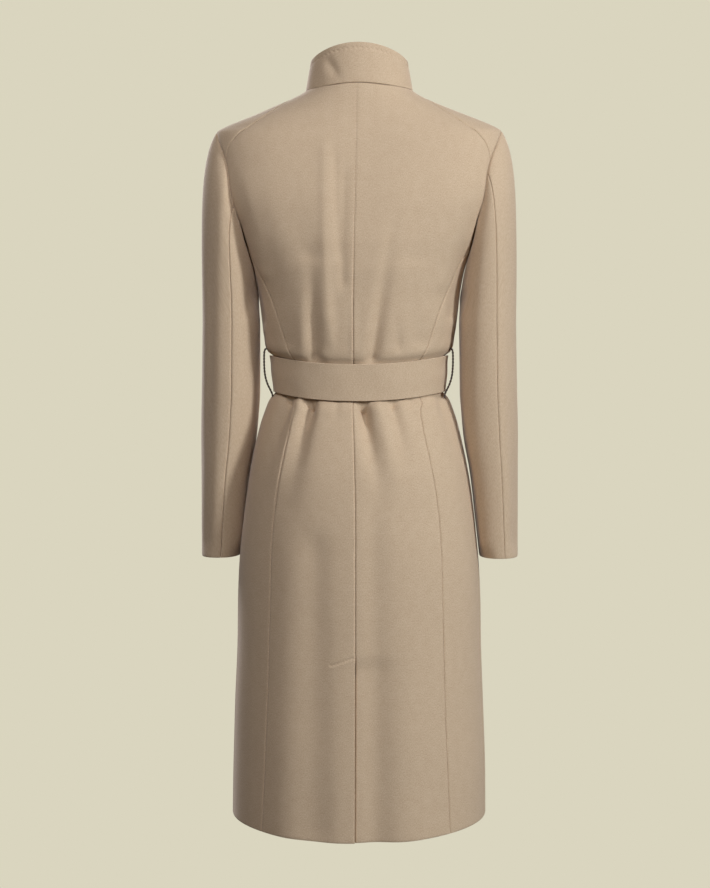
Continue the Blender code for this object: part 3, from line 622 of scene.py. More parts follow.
def princess_line():
    """From the hem up to the armhole and on to the outer end of the shoulder seam."""
    heights = row_heights()
    join = armhole(PRINCESS_TURN)
    x = smooth_columns(PRINCESS + ((float(join[1]), float(plain_body(*join)[0])),), heights)[0]
    lower = line(turn_at_x(x, heights), heights)
    return np.concatenate([lower, armhole_line(PRINCESS_TURN, SHOULDER_TURN)[1:]])


def side_seam_line():
    """From the hem to the bottom of the armhole, with the same level rows as the princess seam."""
    heights = row_heights()
    upper = heights > SHAPED_ABOVE
    stretch = (ARMHOLE_BOTTOM - SHAPED_ABOVE) / (heights[-1] - SHAPED_ABOVE)
    heights[upper] = SHAPED_ABOVE + (heights[upper] - SHAPED_ABOVE) * stretch
    back_by = SIDE_SEAM_BACK * ease(heights, ARMHOLE_BOTTOM, BELT_TOP)
    return line(np.radians(90 - back_by), heights)


def centre_back_line(side, top):
    lower = row_heights()
    share = spaced((PRINCESS_TURN - SHOULDER_TURN) * ARMHOLE_LENGTH_PER_DEGREE)[1:]
    heights = np.concatenate([lower, mix(lower[-1], top, share)])
    x = smooth_columns(CENTRE_BACK, heights)[0]
    return line(side * turn_at_x(x, heights), heights)


def shoulder_seam_line(share):
    """From the outer end of the seam over the shoulder to where it joins the ridge."""
    end_turn, end_height = armhole(SHOULDER_TURN)
    end_x, end_y, _ = plain_body(end_turn, end_height)
    x = mix(end_x, SHOULDER_SEAM[0][0], share)
    y = smooth_columns(SHOULDER_SEAM + ((float(end_x), float(end_y)),), x)[0]
    height = height_on_top(x, y)
    height[0] = end_height
    turn = turn_at_y(y, height)
    turn[0], turn[-1] = end_turn, np.pi / 2
    return line(turn, height)


def ridge_line(x):
    height = height_on_top(x, 0 * x)
    return line(np.pi / 2, height)


def neck_line(angles):
    return line(*neckline(angles))


# ---- the body's panels
def back_patch(side):
    stitched = np.arange(2 * FINE_STEP, VENT_STITCH[1][0] + 4, FINE_STEP) / BACK_WIDTH
    across = np.unique(np.round(np.concatenate([spaced(BACK_WIDTH), stitched]), 6))
    neck_end = int(np.searchsorted(across, BACK_NECK_SHARE))
    seam_start = neck_end + 2
    neck = neck_line(NECK_SIDE * across[:neck_end + 1] / across[neck_end])
    ridge = ridge_line(np.linspace(NECK_HALF_WIDTH, SHOULDER_SEAM[0][0], 3)[1:-1])
    past = (across[seam_start:] - across[seam_start]) / (1 - across[seam_start])
    seam = shoulder_seam_line((1 - past)[::-1])[::-1]
    top = np.concatenate([neck, ridge, seam])
    left = centre_back_line(side, top[0][1])
    right = princess_line()
    top[0], top[-1] = left[-1], right[-1]
    rows = on_face(patch(seen_square(left), seen_square(right), seen_square(top), across), "back")
    return with_edges(rows, left, right, top)


def side_back_patch():
    princess = princess_line()[:len(row_heights())]
    top = armhole_line(PRINCESS_TURN, 180)
    across = spaced((180 - PRINCESS_TURN) * ARMHOLE_LENGTH_PER_DEGREE)
    return patch(princess, side_seam_line(), top, across)


def front_patches(reach):
    """The front from the side seam to its own edge, and the strip of it that lies behind the ridge."""
    outer = np.concatenate([side_seam_line(), armhole_line(180, 360)[1:]])
    heights = outer[:, 1]
    across = spaced(FRONT_WIDTH)
    seam_end = int(np.searchsorted(across, FRONT_SEAM_SHARE))
    neck_start = seam_end + 2
    share = across[:seam_end + 1] / across[seam_end]
    seam = shoulder_seam_line(share)
    ridge_outer_x = plain_body(np.pi / 2, ARMHOLE_TOP)[0]
    ridge = ridge_line(mix(ridge_outer_x, SHOULDER_SEAM[0][0], share))
    ridge[0], ridge[-1] = (np.pi / 2, ARMHOLE_TOP), seam[-1]
    ridge_end = ridge_line(np.linspace(SHOULDER_SEAM[0][0], NECK_HALF_WIDTH, 3)[1:-1])
    neck_share = (across[neck_start:] - across[neck_start]) / (1 - across[neck_start])
    neck = neck_line(mix(NECK_SIDE, NECK_END, neck_share))
    top = np.concatenate([ridge, ridge_end, neck])
    shaped = heights > SHAPED_ABOVE
    climb = travelled(plain_body(*outer.T))[shaped]
    start = climb[0] - 5.0
    rise = SHAPED_ABOVE + (top[-1][1] - SHAPED_ABOVE) * (climb - start) / (climb[-1] - start)
    edge_heights = np.concatenate([heights[~shaped], rise])
    past_centre = smooth_columns(WRAP_EDGE, edge_heights)[reach]
    edge = line(2 * np.pi - turn_at_x(past_centre, edge_heights, "front"), edge_heights)
    top[0], top[-1] = outer[-1], edge[-1]
    share_across = across[None, :, None]
    round_rows = outer[:, None] * (1 - share_across) + edge[:, None] * share_across
    square_rows = patch(seen_square(outer), seen_square(edge), seen_square(top), across)
    yoke = ease(heights, ARMHOLE_BOTTOM, YOKE_FULL)[:, None, None]
    round_seen = seen_square(round_rows.reshape(-1, 2)).reshape(round_rows.shape)
    rows = round_seen * (1 - yoke) + square_rows * yoke
    main = with_edges(np.where(yoke > 0, on_face(rows, "front"), round_rows), outer, edge, top)
    return [main, behind_ridge_patch(ridge, seam)]


def behind_ridge_patch(ridge, seam):
    """The strip of the front between the shoulder's ridge and the shoulder seam, worked out in plan."""
    corner = armhole_line(0, SHOULDER_TURN)
    corner[0] = ridge[0]
    share = spaced(SHOULDER_TURN * ARMHOLE_LENGTH_PER_DEGREE)[None, :, None]
    plan_ridge, plan_seam, plan_corner = [plain_body(*edge.T)[:, :2] for edge in (ridge, seam, corner)]
    plan = plan_ridge[:, None] * (1 - share) + plan_seam[:, None] * share
    travel = travelled(plan_ridge)
    fade = (1 - travel / travel[-1])[:, None, None] ** 2
    plan = plan + fade * (plan_corner[None] - plan[:1])
    height = height_on_top(plan[..., 0], plan[..., 1])
    rows = np.stack([turn_at_y(plan[..., 1], height), height], axis=-1)
    rows[0] = corner
    rows[:, 0], rows[:, -1] = ridge, seam
    return rows


def vent_underlay_patch():
    top = VENT_TOP - UNDERLAY_BELOW
    heights = mix(HEM, top, spaced(top - HEM))
    x = VENT_UNDERLAP * spaced(VENT_UNDERLAP)
    return np.array([line(turn_at_x(x, h + 0 * x), h) for h in heights])


# ---- from patches to walls of cloth
def arc(points, axis):
    """Distance along the rows or columns of a grid of points."""
    steps = np.linalg.norm(np.diff(points, axis=axis), axis=-1)
    start = np.zeros_like(np.take(steps, [0], axis=axis))
    return np.concatenate([start, np.cumsum(steps, axis=axis)], axis=axis)


def rolled_in(points, outs, drops, beyond_top=0):
    """Turns the edges of a grid in; drops has an edge's name, its depth and its reach."""
    across, along = arc(points, 1), arc(points, 0)
    away = {"left": across, "right": across[:, -1:] - across,
            "bottom": along, "top": along[-1:] - along + beyond_top}
    drop = 0 * across
    for edge, depth, reach in drops:
        drop = np.maximum(drop, depth * np.clip(1 - away[edge] / reach, 0, 1) ** 2)
    return points - outs * drop[..., None]


def place_grid(bm, points, outs, grain):
    """Adds a grid of faces through an array of points, each with its thickness direction and grain."""
    direction = bm.verts.layers.float_vector["thickness_direction"]
    cloth = bm.verts.layers.float_vector["grain"]
    rows, columns = points.shape[:2]
    made = bmesh.ops.create_grid(bm, x_segments=columns - 1, y_segments=rows - 1, size=0.5)
    places = zip(made["verts"], points.reshape(-1, 3), outs.reshape(-1, 3), grain.reshape(-1, 2) * MM)
    for vert, point, out, (weft, warp) in places:
        vert.co = point * MM
        vert[direction] = out
        vert[cloth] = (weft, warp, 0)


def inset_edges(bm, distance):
    """Draws the open edges of a sheet in, so that it stays clear of the pieces sewn to it."""
    shift = {}
    for edge in [e for e in bm.edges if e.is_boundary]:
        face = edge.link_faces[0]
        along = (edge.verts[1].co - edge.verts[0].co).normalized()
        inward = face.calc_center_median() - edge.verts[0].co
        inward = (inward - along * inward.dot(along)).normalized()
        for vert in edge.verts:
            shift.setdefault(vert, []).append(inward)
    for vert, inwards in shift.items():
        total = sum(inwards, Vector())
        vert.co += total * (distance * len(inwards) / max(total.length_squared, 0.5))


def round_edges(bm, radius, crisp_below):
    """Rounds the cut edges of a wall; the creases of folds are far flatter and stay."""
    for offset, crisp in ((CRISP_ROUNDING, True), (radius, False)):
        sharp = [edge for edge in bm.edges if edge.is_manifold and edge.calc_face_angle() > SHARP_ANGLE
                 and (max(vert.co.z for vert in edge.verts) < crisp_below * MM) == crisp]
        if sharp:
            bmesh.ops.bevel(bm, geom=sharp, offset=offset * MM, segments=2, profile=0.5,
                            affect="EDGES", material=-1, clamp_overlap=True)


def put_in_scene(name, data):
    thing = bpy.data.objects.new(name, data)
    bpy.context.collection.objects.link(thing)
    return thing


def finish_piece(name, bm, material):
    mesh = bpy.data.meshes.new(name)
    bm.to_mesh(mesh)
    bm.free()
    mesh.shade_smooth()
    mesh.materials.append(material)
    lay_grain(mesh)
    return put_in_scene(name, mesh)


def lay_grain(mesh):
    """Makes the UV map of the cloth's own grain, in metres, from the grain kept on the points."""
    grain = np.zeros(len(mesh.vertices) * 3)
    mesh.attributes["grain"].data.foreach_get("vector", grain)
    corner = np.zeros(len(mesh.loops), dtype=np.int32)
    mesh.loops.foreach_get("vertex_index", corner)
    place = grain.reshape(-1, 3)[corner, :2]
    mesh.uv_layers.new(name="cloth_grain").data.foreach_set("uv", place.ravel())


def cloth_wall(name, grids, wall, rounding, material, gap=SEAM_GAP, crisp_below=2 * HEM):
    """Joins grids of outer points into one sheet and thickens it inwards to a closed wall."""
    bm = bmesh.new()
    direction = bm.verts.layers.float_vector.new("thickness_direction")
    bm.verts.layers.float_vector.new("grain")
    for points, outs, grain in grids:
        place_grid(bm, points, outs, grain)
    bmesh.ops.remove_doubles(bm, verts=bm.verts, dist=TOUCHING * MM)
    bmesh.ops.dissolve_degenerate(bm, edges=bm.edges, dist=TOUCHING * MM)
    inset_edges(bm, gap / 2 * MM)
    inner = bmesh.ops.extrude_face_region(bm, geom=bm.faces[:], use_keep_orig=True)
    for vert in [item for item in inner["geom"] if isinstance(item, bmesh.types.BMVert)]:
        vert.co -= Vector(vert[direction]).normalized() * wall * MM
    bmesh.ops.recalc_face_normals(bm, faces=bm.faces)
    round_edges(bm, rounding, crisp_below)
    return finish_piece(name, bm, material)


def grain_of(points):
    """The cloth's own weft and warp lengths at every point of a grid."""
    return np.stack([arc(points, 1), arc(points, 0)], axis=-1)


def body_grid(side, rows, surface, drops, beyond_top=0):
    """The points, thickness directions and grain of a body panel, from its rows of (turn, height)."""
    turn = rows[..., 0] * side
    height = rows[..., 1] - waist_sag(turn, rows[..., 1]) - hem_dip(turn, rows[..., 1])
    points = surface(turn, height)
    outs = normals(surface, turn, height)
    if callable(drops):
        drops = drops(height)
    return rolled_in(points, outs, drops, beyond_top), outs, grain_of(points)


def collar_seam_share(x):
    """The collar's seam lies crisp across the nape and presses out soft towards the neck's sides."""
    return 1 - 0.9 * ease(np.abs(x), *NAPE_SEAM)


def back_panel(name, side, material):
    surface = stepped_body(vent_step) if name == "right" else stitched_back
    vent_drop = {"left": EDGE_DROP, "right": VENT_CREVICE}[name]
    patch_rows = back_patch(side)
    top_x = plain_body(*patch_rows[-1].T)[:, 0]
    top_drop = SEAM_DROP * np.where(top_x < NECK_HALF_WIDTH, collar_seam_share(top_x), 1)

    def drops(height):
        centre = mix(vent_drop, SEAM_DROP, ease(height, VENT_TOP - 6, VENT_TOP + 2))
        return (("left", centre, SEAM_REACH), ("right", *SEWN),
                ("top", top_drop, SEAM_REACH), ("bottom", *FREE))
    grid = body_grid(side, patch_rows, surface, drops)
    return cloth_wall(f"cloth_back_{name}", [grid], *SINGLE, material)


def side_back_panel(name, side, material):
    drops = (("left", *SEWN), ("right", *SEWN), ("top", *SEWN), ("bottom", *FREE))
    grid = body_grid(side, side_back_patch(), body, drops)
    return cloth_wall(f"cloth_side_back_{name}", [grid], *SINGLE, material)


def front_panel(name, side, material):
    surface = stepped_body(under_front_step) if name == "left" else body
    main, behind = front_patches(0 if name == "right" else 1)
    strip = body_grid(side, behind, surface, (("bottom", *SEWN), ("right", *SEWN)))
    strip_width = arc(strip[0], 1)[:, -1]
    beyond = np.zeros(main.shape[1])
    beyond[:len(strip_width)] = strip_width
    drops = (("left", *SEWN), ("right", *FREE), ("top", *SEWN), ("bottom", *FREE))
    grid = body_grid(side, main, surface, drops, beyond)
    return cloth_wall(f"cloth_front_{name}", [grid, strip], *SINGLE, material)


def vent_underlay(material):
    """The strip of the right back that lies under the left back at the vent."""
    drops = (("right", *FREE), ("bottom", *FREE))
    grid = body_grid(1, vent_underlay_patch(), stepped_body(underlay_step), drops)
    return cloth_wall("cloth_vent_underlay", [grid], *SINGLE, material)


# ---- sleeves
def sleeve_fold_depth(side_name, turn, run):
    depth = 0 * turn
    degrees = np.degrees(turn) % 360
    for turn_top, top, turn_bottom, bottom, half_turn, deep_top, deep_bottom in SLEEVE_FOLDS[side_name]:
        t = (run - top) / (bottom - top)
        off = (degrees - mix(turn_top, turn_bottom, t) + 180) % 360 - 180
        deep = mix(deep_top, deep_bottom, ease(t, 0, 1))
        depth = depth + deep * ease(t, 0, 0.25) * (1 - ease(t, 0.7, 1)) * hump(off, 0, half_turn)
    return depth


def sleeve_surface(side):
    """A point of the left sleeve, grown from the armhole of the given side.

    Turn 0 is its outer line and 90 degrees its back; run 0 is the armhole, 1 the level where it
    hangs free and 2 the cuff.
    """
    def surface(turn, run):
        turn, run = np.broadcast_arrays(turn, np.clip(run, 0, 2))
        free = SLEEVE_SECTIONS[0][0]
        height = mix(free, CUFF, np.clip(run - 1, 0, 1))
        inner, outer, back, front = smooth_columns(SLEEVE_SECTIONS, height)
        power = 2 / SLEEVE_SQUARENESS
        x = (inner + outer) / 2 + (outer - inner) / 2 * signed_power(np.cos(turn), power)
        y = (back + front) / 2 + (back - front) / 2 * signed_power(np.sin(turn), power)
        hanging = np.stack([x, y, height], axis=-1)
        hole_turn, hole_height = armhole(np.degrees(turn))
        start = body(side * hole_turn, hole_height) * (side, 1, 1)
        reach = np.linalg.norm(hanging - start, axis=-1)
        crown = ((1 + np.cos(turn)) / 2) ** CROWN_SPREAD
        outward = (0.1 + CROWN_FULLNESS * crown) * reach
        leave = np.stack([outward, 0.3 * np.sin(turn) * reach, -0.5 * reach], axis=-1)
        arrive = np.stack([0 * reach, 0 * reach, -1.2 * reach], axis=-1)
        cap = hermite(np.clip(run, 0, 1)[..., None], start, leave, hanging, arrive)
        return np.where(run[..., None] < 1, cap, hanging)
    return surface


def sleeve_piece(part, name, side, start, end, material):
    """One cut piece of a sleeve, between two of its lengthwise lines."""
    turn = np.radians(mix(start, end, spaced((end - start) * SLEEVE_LENGTH_PER_DEGREE)))[None, :]
    free_length = SLEEVE_SECTIONS[0][0] - CUFF
    run = np.concatenate([spaced(SLEEVE_CAP_LENGTH), 1 + spaced(free_length)[1:]])[:, None]
    surface = sleeve_surface(side)
    turn, run = turn + 0 * run, run + 0 * turn
    points = surface(turn, run)
    outs = normals(surface, turn, run, dv=0.01)
    hole_turn, hole_height = armhole(np.degrees(turn[0]))
    seam_out = normals(body, side * hole_turn, hole_height) * (side, 1, 1)
    share = ease(np.cos(turn[0]), -0.75, 0.1)[:, None]
    outs[0] = seam_out * share + outs[0] * (1 - share)
    folds = sleeve_fold_depth(name, turn, run) * ease(run, 0.04, 0.3) * (1 - ease(run, 1.93, 2.0))
    points = points - outs * folds[..., None]
    armhole_edge = ("bottom", ARMHOLE_SEAM_DROP, SEAM_REACH)
    drops = (("left", *SEWN), ("right", *SEWN), armhole_edge, ("top", *FREE))
    grid = (rolled_in(points, outs, drops) * (side, 1, 1), outs * (side, 1, 1), grain_of(points))
    return cloth_wall(f"cloth_{part}_{name}", [grid], *SINGLE, material, gap=SLEEVE_GAP)


# ---- collar
def collar_surface(angle, rise):
    """A point of the collar's outer face; the left end passes under the right one at the front."""
    base = body(*neckline(np.degrees(angle)))
    cosine = np.cos(angle)
    from_side = np.where(cosine > 0, COLLAR_RISE_BACK, -COLLAR_DROP_FRONT)
    top = COLLAR_TOP_SIDE + from_side * np.abs(cosine) ** COLLAR_EDGE_CURVE
    out = unit(base * LEVEL)
    starts, stops = [past - NECK_END for past in COLLAR_LAP_FADE]
    under = (DOUBLED + COLLAR_LAP_GAP) * ease(np.degrees(angle), starts, stops)
    point = base - out * (COLLAR_LEAN * rise + under)[..., None]
    point[..., 2] = base[..., 2] + COLLAR_SEAM + (top - base[..., 2] - COLLAR_SEAM) * rise
    return point


def collar_relief(points):
    """How far the collar's face sinks: a soft dent and the row of hand stitches below its top edge."""
    around, up = arc(points, 1), arc(points, 0)
    below_top = up[-1:] - up
    x = points[..., 0]
    dent = COLLAR_DENT * hump(x - 0.5 * (points[..., 2] - 20), 33, 8) * ease(points[..., 1], 0, 20)
    dent = dent * hump(below_top, 0.55 * up[-1:], 16)
    nearest = (around % PICK_SPACING) - PICK_SPACING / 2
    stitch = 0.75 * hump(nearest, 0, 1.3) * hump(below_top, PICK_BELOW_EDGE, 2.0)
    channel = 0.25 * hump(below_top, PICK_BELOW_EDGE, 2.6)
    return dent + stitch + channel


def collar(material):
    back, front = np.linspace(0, NECK_SIDE, 81), np.linspace(NECK_SIDE, NECK_END, 86)
    half = np.concatenate([back, front[1:]])
    angle = np.radians(np.concatenate([-half[:0:-1], half]))[None, :]
    low = spaced(100.0, 6.0)
    stitched = np.linspace(0.8, 1.0, 15)
    rise = np.concatenate([low[low < stitched[0]], stitched])[:, None]
    angle, rise = angle + 0 * rise, rise + 0 * angle
    points = collar_surface(angle, rise)
    outs = unit(normals(collar_surface, angle, rise, dv=0.02) * LEVEL)
    relief = collar_relief(points)[..., None]
    drops = (("bottom", COLLAR_SEAM_DROP * collar_seam_share(points[0, :, 0]), SEAM_REACH),)
    grid = (rolled_in(points - outs * relief, outs, drops), outs, grain_of(points))
    return cloth_wall("cloth_collar", [grid], DOUBLED, DOUBLED_ROUNDING, material,
                      gap=COLLAR_GAP, crisp_below=COLLAR_CRISP_BELOW)


# ---- belt
def belt_surface(turn, rise):
    """A point of the belt's outer face; rise 0 is its lower edge and 1 its upper edge."""
    height = BELT_TOP - BELT_HEIGHT * (1 - rise) - belt_sag(turn)
    out = unit(normals(plain_body, turn, height) * LEVEL)
    return plain_body(turn, height) + out * (BELT_EASE + DOUBLED)


def belt_relief(points, rise):
    """Slow unrest along the belt, and the pleats that run into the knot."""
    x, height = points[..., 0], points[..., 2]
    slow = (0.45 * np.sin(x / 23 + 0.8) * np.sin(rise * 3.4 + x / 61)
            + 0.25 * np.sin(x / 11 - height / 19))
    near_knot = (1 - ease(np.abs(x - KNOT_X), 30, 95)) * (points[..., 1] < 0)
    return slow + near_knot * pleats(rise, BELT_PLEATS)


def belt_band(material):
    turn = np.radians(np.linspace(-180, 180, 241))[None, :]
    rise = spaced(BELT_HEIGHT, 4.0)[:, None]
    turn, rise = turn + 0 * rise, rise + 0 * turn
    points = belt_surface(turn, rise)
    outs = unit(normals(belt_surface, turn, rise, dv=0.02) * LEVEL)
    relief = belt_relief(points, rise)[..., None]
    relief[:, -1] = relief[:, 0]
    grid = (points - outs * relief, outs, grain_of(points)[..., ::-1])
    return cloth_wall("cloth_belt_band", [grid], *BAND, material, gap=0)


def knot_wrap(place):
    """How far the knot's cloth sinks at a place of its front, in shares of its half size.

    The belt comes up from behind, folds over slanting in four pleats, and leaves the turn below it
    lower and flat.
    """
    across, _, up = place
    slant = 0.86 * across + 0.5 * up + 0.12 * up * up
    fold_over = ease(abs(slant - 0.04), 0.6, 0.7)
    spread = 0.85 - 0.15 * up
    folded = pleats(slant, [(at * spread, wide, deep) for at, wide, deep in KNOT_PLEATS])
    return KNOT_FOLD_OVER * fold_over + folded * (1 - fold_over)


def belt_knot(material):
    """The half-knot in front of the band, wrapped from the belt's own width."""
    size = Vector(KNOT_SIZE)
    middle = BELT_TOP - BELT_HEIGHT / 2
    band_face = belt_surface(turn_at_x(np.array(KNOT_X), middle, "front"), np.array(0.5))[1]
    bm = bmesh.new()
    bmesh.ops.create_cube(bm, size=2.0)
    bmesh.ops.subdivide_edges(bm, edges=bm.edges, cuts=39, use_grid_fill=True)
    cloth = bm.verts.layers.float_vector.new("grain")
    centre = Vector((KNOT_X, band_face - KNOT_SEAT - size.y / 2, middle))
    for vert in bm.verts:
        cube = vert.co.copy()
        place = cube / sum(abs(c) ** KNOT_CORNERS for c in cube) ** (1 / KNOT_CORNERS)
        out = Vector([signed_power(c, KNOT_CORNERS - 1) / s for c, s in zip(place, size)]).normalized()
        facing = ease(-out.y, -0.2, 0.5)
        sunk = float(knot_wrap(place) * facing)
        point = Vector([c * s / 2 for c, s in zip(place, size)]) - out * sunk
        vert.co = (point + centre) * MM
        vert[cloth] = (point.x * MM, point.z * MM, 0)
    bmesh.ops.recalc_face_normals(bm, faces=bm.faces)
    return finish_piece("cloth_belt_knot", bm, material)


def belt_tail(side_name, x_top, x_bottom, length, material):
    """One hanging end of the belt, from below the knot, lying on the front of the skirt."""
    across = (spaced(TAIL_WIDTH, 4.0) - 0.5)[None, :]
    run = spaced(length)[:, None]
    start = BELT_TOP - BELT_HEIGHT / 2 - KNOT_SIZE[2] / 2 - SEAM_GAP
    width = TAIL_WIDTH * (0.46 + 0.54 * ease(run, 0, 0.42))
    height = start - run * length + 0 * across
    towards_knot = 0.28 * (KNOT_X - x_top) * (1 - ease(run, 0, 0.3))
    x = mix(x_top, x_bottom, run) + towards_knot + across * width
    resting = body(turn_at_x(x, height, "front"), height)[..., 1]
    hanging = resting[:1].min() - 9.0
    lift = 3.5 * np.sin(run * 7.5 + across * 1.4) ** 2 * ease(run, 0.1, 0.5)
    gather = pleats(across, TAIL_PLEATS) * (1 - ease(run, 0.02, 0.55))
    y = np.minimum(resting - 1.0, hanging) - DOUBLED - lift + gather - 2.0 * (1 - ease(run, 0, 0.5))
    points = np.stack([x, y, height], axis=-1)
    outs = np.zeros_like(points) + (0, -1, 0)
    return cloth_wall(f"cloth_belt_tail_{side_name}", [(points, outs, grain_of(points))],
                      *TAIL, material, gap=0)


# ---- thread loops
def belt_loop(side_name, side, material):
    """A thread loop that holds the belt at the side seam, twisted from two strands."""
    turn = np.radians(side * LOOP_TURN)
    waist = BELT_TOP - BELT_HEIGHT / 2
    route = np.array(LOOP_ROUTE + (LOOP_ENDS[side_name],))
    run = travelled(route)
    at = np.linspace(0, run[-1], 181)
    height, stand_off = smooth_columns(np.column_stack([run, route]).tolist(), at)
    out = unit(normals(plain_body, turn, waist) * LEVEL)
    middle = plain_body(turn, waist) * LEVEL + out * stand_off[:, None]
    middle[:, 2] = height - belt_sag(turn)
    along = unit(np.gradient(middle, axis=0))
    sideways = unit(np.cross(along, out))
    facing = np.cross(sideways, along)
    around = np.linspace(0, 2 * np.pi, 13)[None, :]
    twist = at[:, None] / LOOP_LAY * np.pi
    radius = LOOP_CORD / 2 * (0.84 + 0.16 * np.cos(2 * (around - twist)))
    cosine, sine = np.cos(around)[..., None], np.sin(around)[..., None]
    round_cord = cosine * sideways[:, None] + sine * facing[:, None]
    points = middle[:, None] + radius[..., None] * round_cord
    bm = bmesh.new()
    bm.verts.layers.float_vector.new("thickness_direction")
    bm.verts.layers.float_vector.new("grain")
    place_grid(bm, points, 0 * points, grain_of(points))
    bmesh.ops.remove_doubles(bm, verts=bm.verts, dist=0.005 * MM)
    bmesh.ops.holes_fill(bm, edges=[edge for edge in bm.edges if edge.is_boundary], sides=0)
    bmesh.ops.recalc_face_normals(bm, faces=bm.faces)
    return finish_piece(f"thread_belt_loop_{side_name}", bm, material)


# ---- materials
def linear(hex_colour):
    """An sRGB hex colour as the linear colour that a shader takes."""
    values = [int(hex_colour[i:i + 2], 16) / 255 for i in (0, 2, 4)]
    return (*[v / 12.92 if v <= 0.04045 else ((v + 0.055) / 1.055) ** 2.4 for v in values], 1.0)


def add_node(tree, kind, links=(), **settings):
    """Adds a node; a setting goes to its property or to the input of that name, links to its inputs."""
    node = tree.nodes.new(kind)
    for key, value in settings.items():
        if hasattr(node, key):
            setattr(node, key, value)
    for key, value in settings.items():
        if not hasattr(node, key):
            node.inputs[key.replace("_", " ")].default_value = value
    for name, source in links:
        tree.links.new(source, node.inputs[name])
    return node


def principled(name, **inputs):
    """A new material with its shader's own inputs set; gives the material, its tree and the shader."""
    material = bpy.data.materials.new(name)
    material.use_nodes = True
    shader = material.node_tree.nodes["Principled BSDF"]
    for key, value in inputs.items():
        shader.inputs[key.replace("_", " ")].default_value = value
    return material, material.node_tree, shader


def noise(tree, vector, across, along, **settings):
    """Noise over the cloth's grain, at the given sizes in metres."""
    sizes = add_node(tree, "ShaderNodeMapping", [("Vector", vector)], Scale=(1 / across, 1 / along, 1))
    place = [("Vector", sizes.outputs["Vector"])]
    return add_node(tree, "ShaderNodeTexNoise", place, Scale=1.0, **settings).outputs["Fac"]


def two_colours(tree, shader, share, dark, light):
    colour = add_node(tree, "ShaderNodeMix", [(0, share)], data_type="RGBA")
    colour.inputs[6].default_value = linear(dark)
    colour.inputs[7].default_value = linear(light)
    tree.links.new(colour.outputs[2], shader.inputs["Base Color"])


def add_bump(tree, shader, height, strength, distance):
    bump = add_node(tree, "ShaderNodeBump", [("Height", height)], Strength=strength, Distance=distance)
    tree.links.new(bump.outputs["Normal"], shader.inputs["Normal"])


def melton(name, light, dark, nap_height):
    """Milled and brushed wool: no weave shows, only a matt short nap with paler and darker hairs."""
    material, tree, shader = principled(
        name, Roughness=0.92, IOR=1.54, Specular_IOR_Level=0.15,
        Sheen_Weight=0.32, Sheen_Roughness=0.45, Sheen_Tint=linear("e8dcd2"))
    grain = add_node(tree, "ShaderNodeUVMap", uv_map="cloth_grain").outputs["UV"]
    # hairs about 0.5 mm across and 1.2 mm long, drawn coarser than the real ones so that they show
    melange = noise(tree, grain, 0.0011, 0.0019, Detail=3.0, Roughness=0.65)
    # milling leaves soft clouds about 12 mm wide
    clouds = noise(tree, grain, 0.012, 0.016, Detail=2.0, Roughness=0.5)
    both = add_node(tree, "ShaderNodeMix", [(2, melange), (3, clouds)], data_type="FLOAT")
    both.inputs[0].default_value = 0.12
    spread = add_node(tree, "ShaderNodeMapRange", [("Value", both.outputs[0])],
                      From_Min=0.34, From_Max=0.66)
    two_colours(tree, shader, spread.outputs["Result"], dark, light)
    add_bump(tree, shader, melange, 0.55, nap_height)
    return material


def buttonhole_twist(name, light, dark):
    """Hard twisted thread: two dark strands with a faint shine along them."""
    material, tree, shader = principled(name, Roughness=0.62, IOR=1.54)
    grain = add_node(tree, "ShaderNodeUVMap", uv_map="cloth_grain").outputs["UV"]
    # filaments wind round the cord about every 0.6 mm
    fibre = noise(tree, grain, 0.0006, 0.0030, Detail=2.0)
    two_colours(tree, shader, fibre, dark, light)
    add_bump(tree, shader, fibre, 0.5, 0.0002)
    return material


def paper_floor(name, colour):
    """Seamless studio paper: matt and pale, with a faint tooth."""
    material, tree, shader = principled(
        name, Base_Color=(0, 0, 0, 1), Roughness=1.0, Specular_IOR_Level=0.0,
        Emission_Color=linear(colour), Emission_Strength=1.0)
    place = add_node(tree, "ShaderNodeTexCoord").outputs["Object"]
    tooth = add_node(tree, "ShaderNodeTexNoise", [("Vector", place)], Scale=600.0)
    add_bump(tree, shader, tooth.outputs["Fac"], 0.05, 0.0005)
    return material


# ---- studio
PALE = "dad5bf"
FLOOR_HEIGHT = -1.45
SOFT_LIGHTS = (
    # name, place, height that it aims at, size, watts, colour
    ("key_softbox", (-2.6, 1.85, 0.6), -0.45, (0.35, 1.0), 87, "ebf5ff"),
    ("back_fill", (0.15, 2.6, 1.4), -0.35, (1.2, 1.2), 55, "f2f6ff"),
    ("rim_softbox", (-2.4, -0.9, 0.5), -0.4, (0.7, 1.9), 7, "f6f0f2"),
    ("front_softbox", (1.6, -2.5, 0.9), -0.45, (0.9, 1.4), 95, "f4f6ff"),
    ("front_fill", (-0.8, -2.9, 0.7), -0.5, (1.8, 1.9), 45, "fff4ea"),
)
CAMERA_AZIMUTH = 182.3
CAMERA_DISTANCE = 2.70
CAMERA_HEIGHT = -0.3906
CAMERA_ASIDE = 0.0060   # to its own left
CAMERA_TILT = 1.51
CAMERA_LENS = 51.21
CAMERA_SHIFT = -0.0304


def studio_floor():
    bm = bmesh.new()
    bmesh.ops.create_grid(bm, x_segments=8, y_segments=8, size=12.0)
    bmesh.ops.translate(bm, vec=(0, 0, FLOOR_HEIGHT), verts=bm.verts)
    mesh = bpy.data.meshes.new("studio_floor")
    bm.to_mesh(mesh)
    bm.free()
    mesh.materials.append(paper_floor("pale_paper", PALE))
    floor = put_in_scene("studio_floor", mesh)
    floor.visible_diffuse = False


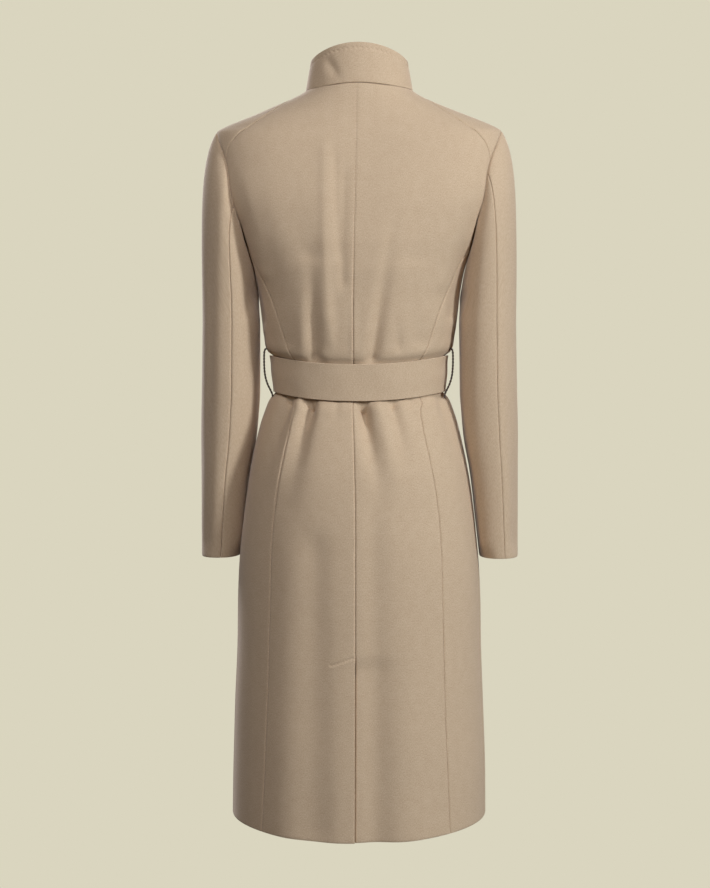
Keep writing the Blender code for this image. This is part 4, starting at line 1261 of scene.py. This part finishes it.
def soft_light(name, place, aim_height, size, watts, colour):
    data = bpy.data.lights.new(name, "AREA")
    data.shape = "RECTANGLE"
    data.size, data.size_y = size
    data.energy = watts
    data.color = linear(colour)[:3]
    lamp = put_in_scene(name, data)
    lamp.location = place
    aim = Vector((0, 0, aim_height)) - Vector(place)
    lamp.rotation_euler = aim.to_track_quat("-Z", "Y").to_euler()


def studio_world():
    world = bpy.data.worlds.new("studio")
    world.use_nodes = True
    tree = world.node_tree
    tree.nodes.clear()
    seen = add_node(tree, "ShaderNodeBackground", Color=linear(PALE), Strength=1.0)
    ambient = add_node(tree, "ShaderNodeBackground", Color=linear("fff2ea"), Strength=0.08)
    camera_ray = add_node(tree, "ShaderNodeLightPath").outputs["Is Camera Ray"]
    mixed = add_node(tree, "ShaderNodeMixShader", [("Fac", camera_ray)])
    tree.links.new(ambient.outputs[0], mixed.inputs[1])
    tree.links.new(seen.outputs[0], mixed.inputs[2])
    output = add_node(tree, "ShaderNodeOutputWorld")
    tree.links.new(mixed.outputs[0], output.inputs["Surface"])
    bpy.context.scene.world = world


def camera():
    azimuth = np.radians(CAMERA_AZIMUTH)
    data = bpy.data.cameras.new("studio_camera")
    data.sensor_fit = "VERTICAL"
    data.sensor_height = 24.0
    data.lens = CAMERA_LENS
    data.shift_y = CAMERA_SHIFT
    seen_from = put_in_scene("studio_camera", data)
    towards = Vector((np.sin(azimuth), -np.cos(azimuth), 0))
    aside = Vector((-np.cos(azimuth), -np.sin(azimuth), 0))
    seen_from.location = towards * CAMERA_DISTANCE + aside * CAMERA_ASIDE
    seen_from.location.z = CAMERA_HEIGHT
    seen_from.rotation_euler = (np.radians(90 - CAMERA_TILT), 0, azimuth)
    bpy.context.scene.camera = seen_from


# ---- the whole coat
def declare(piece, node):
    """Puts a piece in the place of the coat's solid of that name."""
    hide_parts(node)
    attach(piece, "root")


def dress_coat():
    cloth = melton("camel_melton", "ccb496", "b39779", 0.0004)
    thread = buttonhole_twist("dark_buttonhole_twist", "4a382c", "2c2019")
    pieces = {}
    for name, side in (("left", 1), ("right", -1)):
        pieces[f"back_{name}"] = back_panel(name, side, cloth)
        pieces[f"side_back_{name}"] = side_back_panel(name, side, cloth)
        pieces[f"front_{name}"] = front_panel(name, side, cloth)
        front, back = FRONT_SLEEVE_TURN, BACK_SLEEVE_TURN[name]
        for part, start, end in (("sleeve_upper", front - 360, back), ("sleeve_under", back, front)):
            pieces[f"{part}_{name}"] = sleeve_piece(part, name, side, start, end, cloth)
        declare(belt_loop(name, side, thread), f"belt_loop_{name}")
    pieces["vent_underlay"] = vent_underlay(cloth)
    pieces["collar"] = collar(cloth)
    pieces["belt_band"] = belt_band(cloth)
    for side_name, x_top, x_bottom, length in TAILS:
        pieces[f"belt_tail_{side_name}"] = belt_tail(side_name, x_top, x_bottom, length, cloth)
    declare(belt_knot(cloth), "belt_knot")
    for name, piece in pieces.items():
        declare(piece, name)


bpy.context.scene.view_settings.view_transform = "Standard"
studio_floor()
for light in SOFT_LIGHTS:
    soft_light(*light)
studio_world()
camera()
dress_coat()
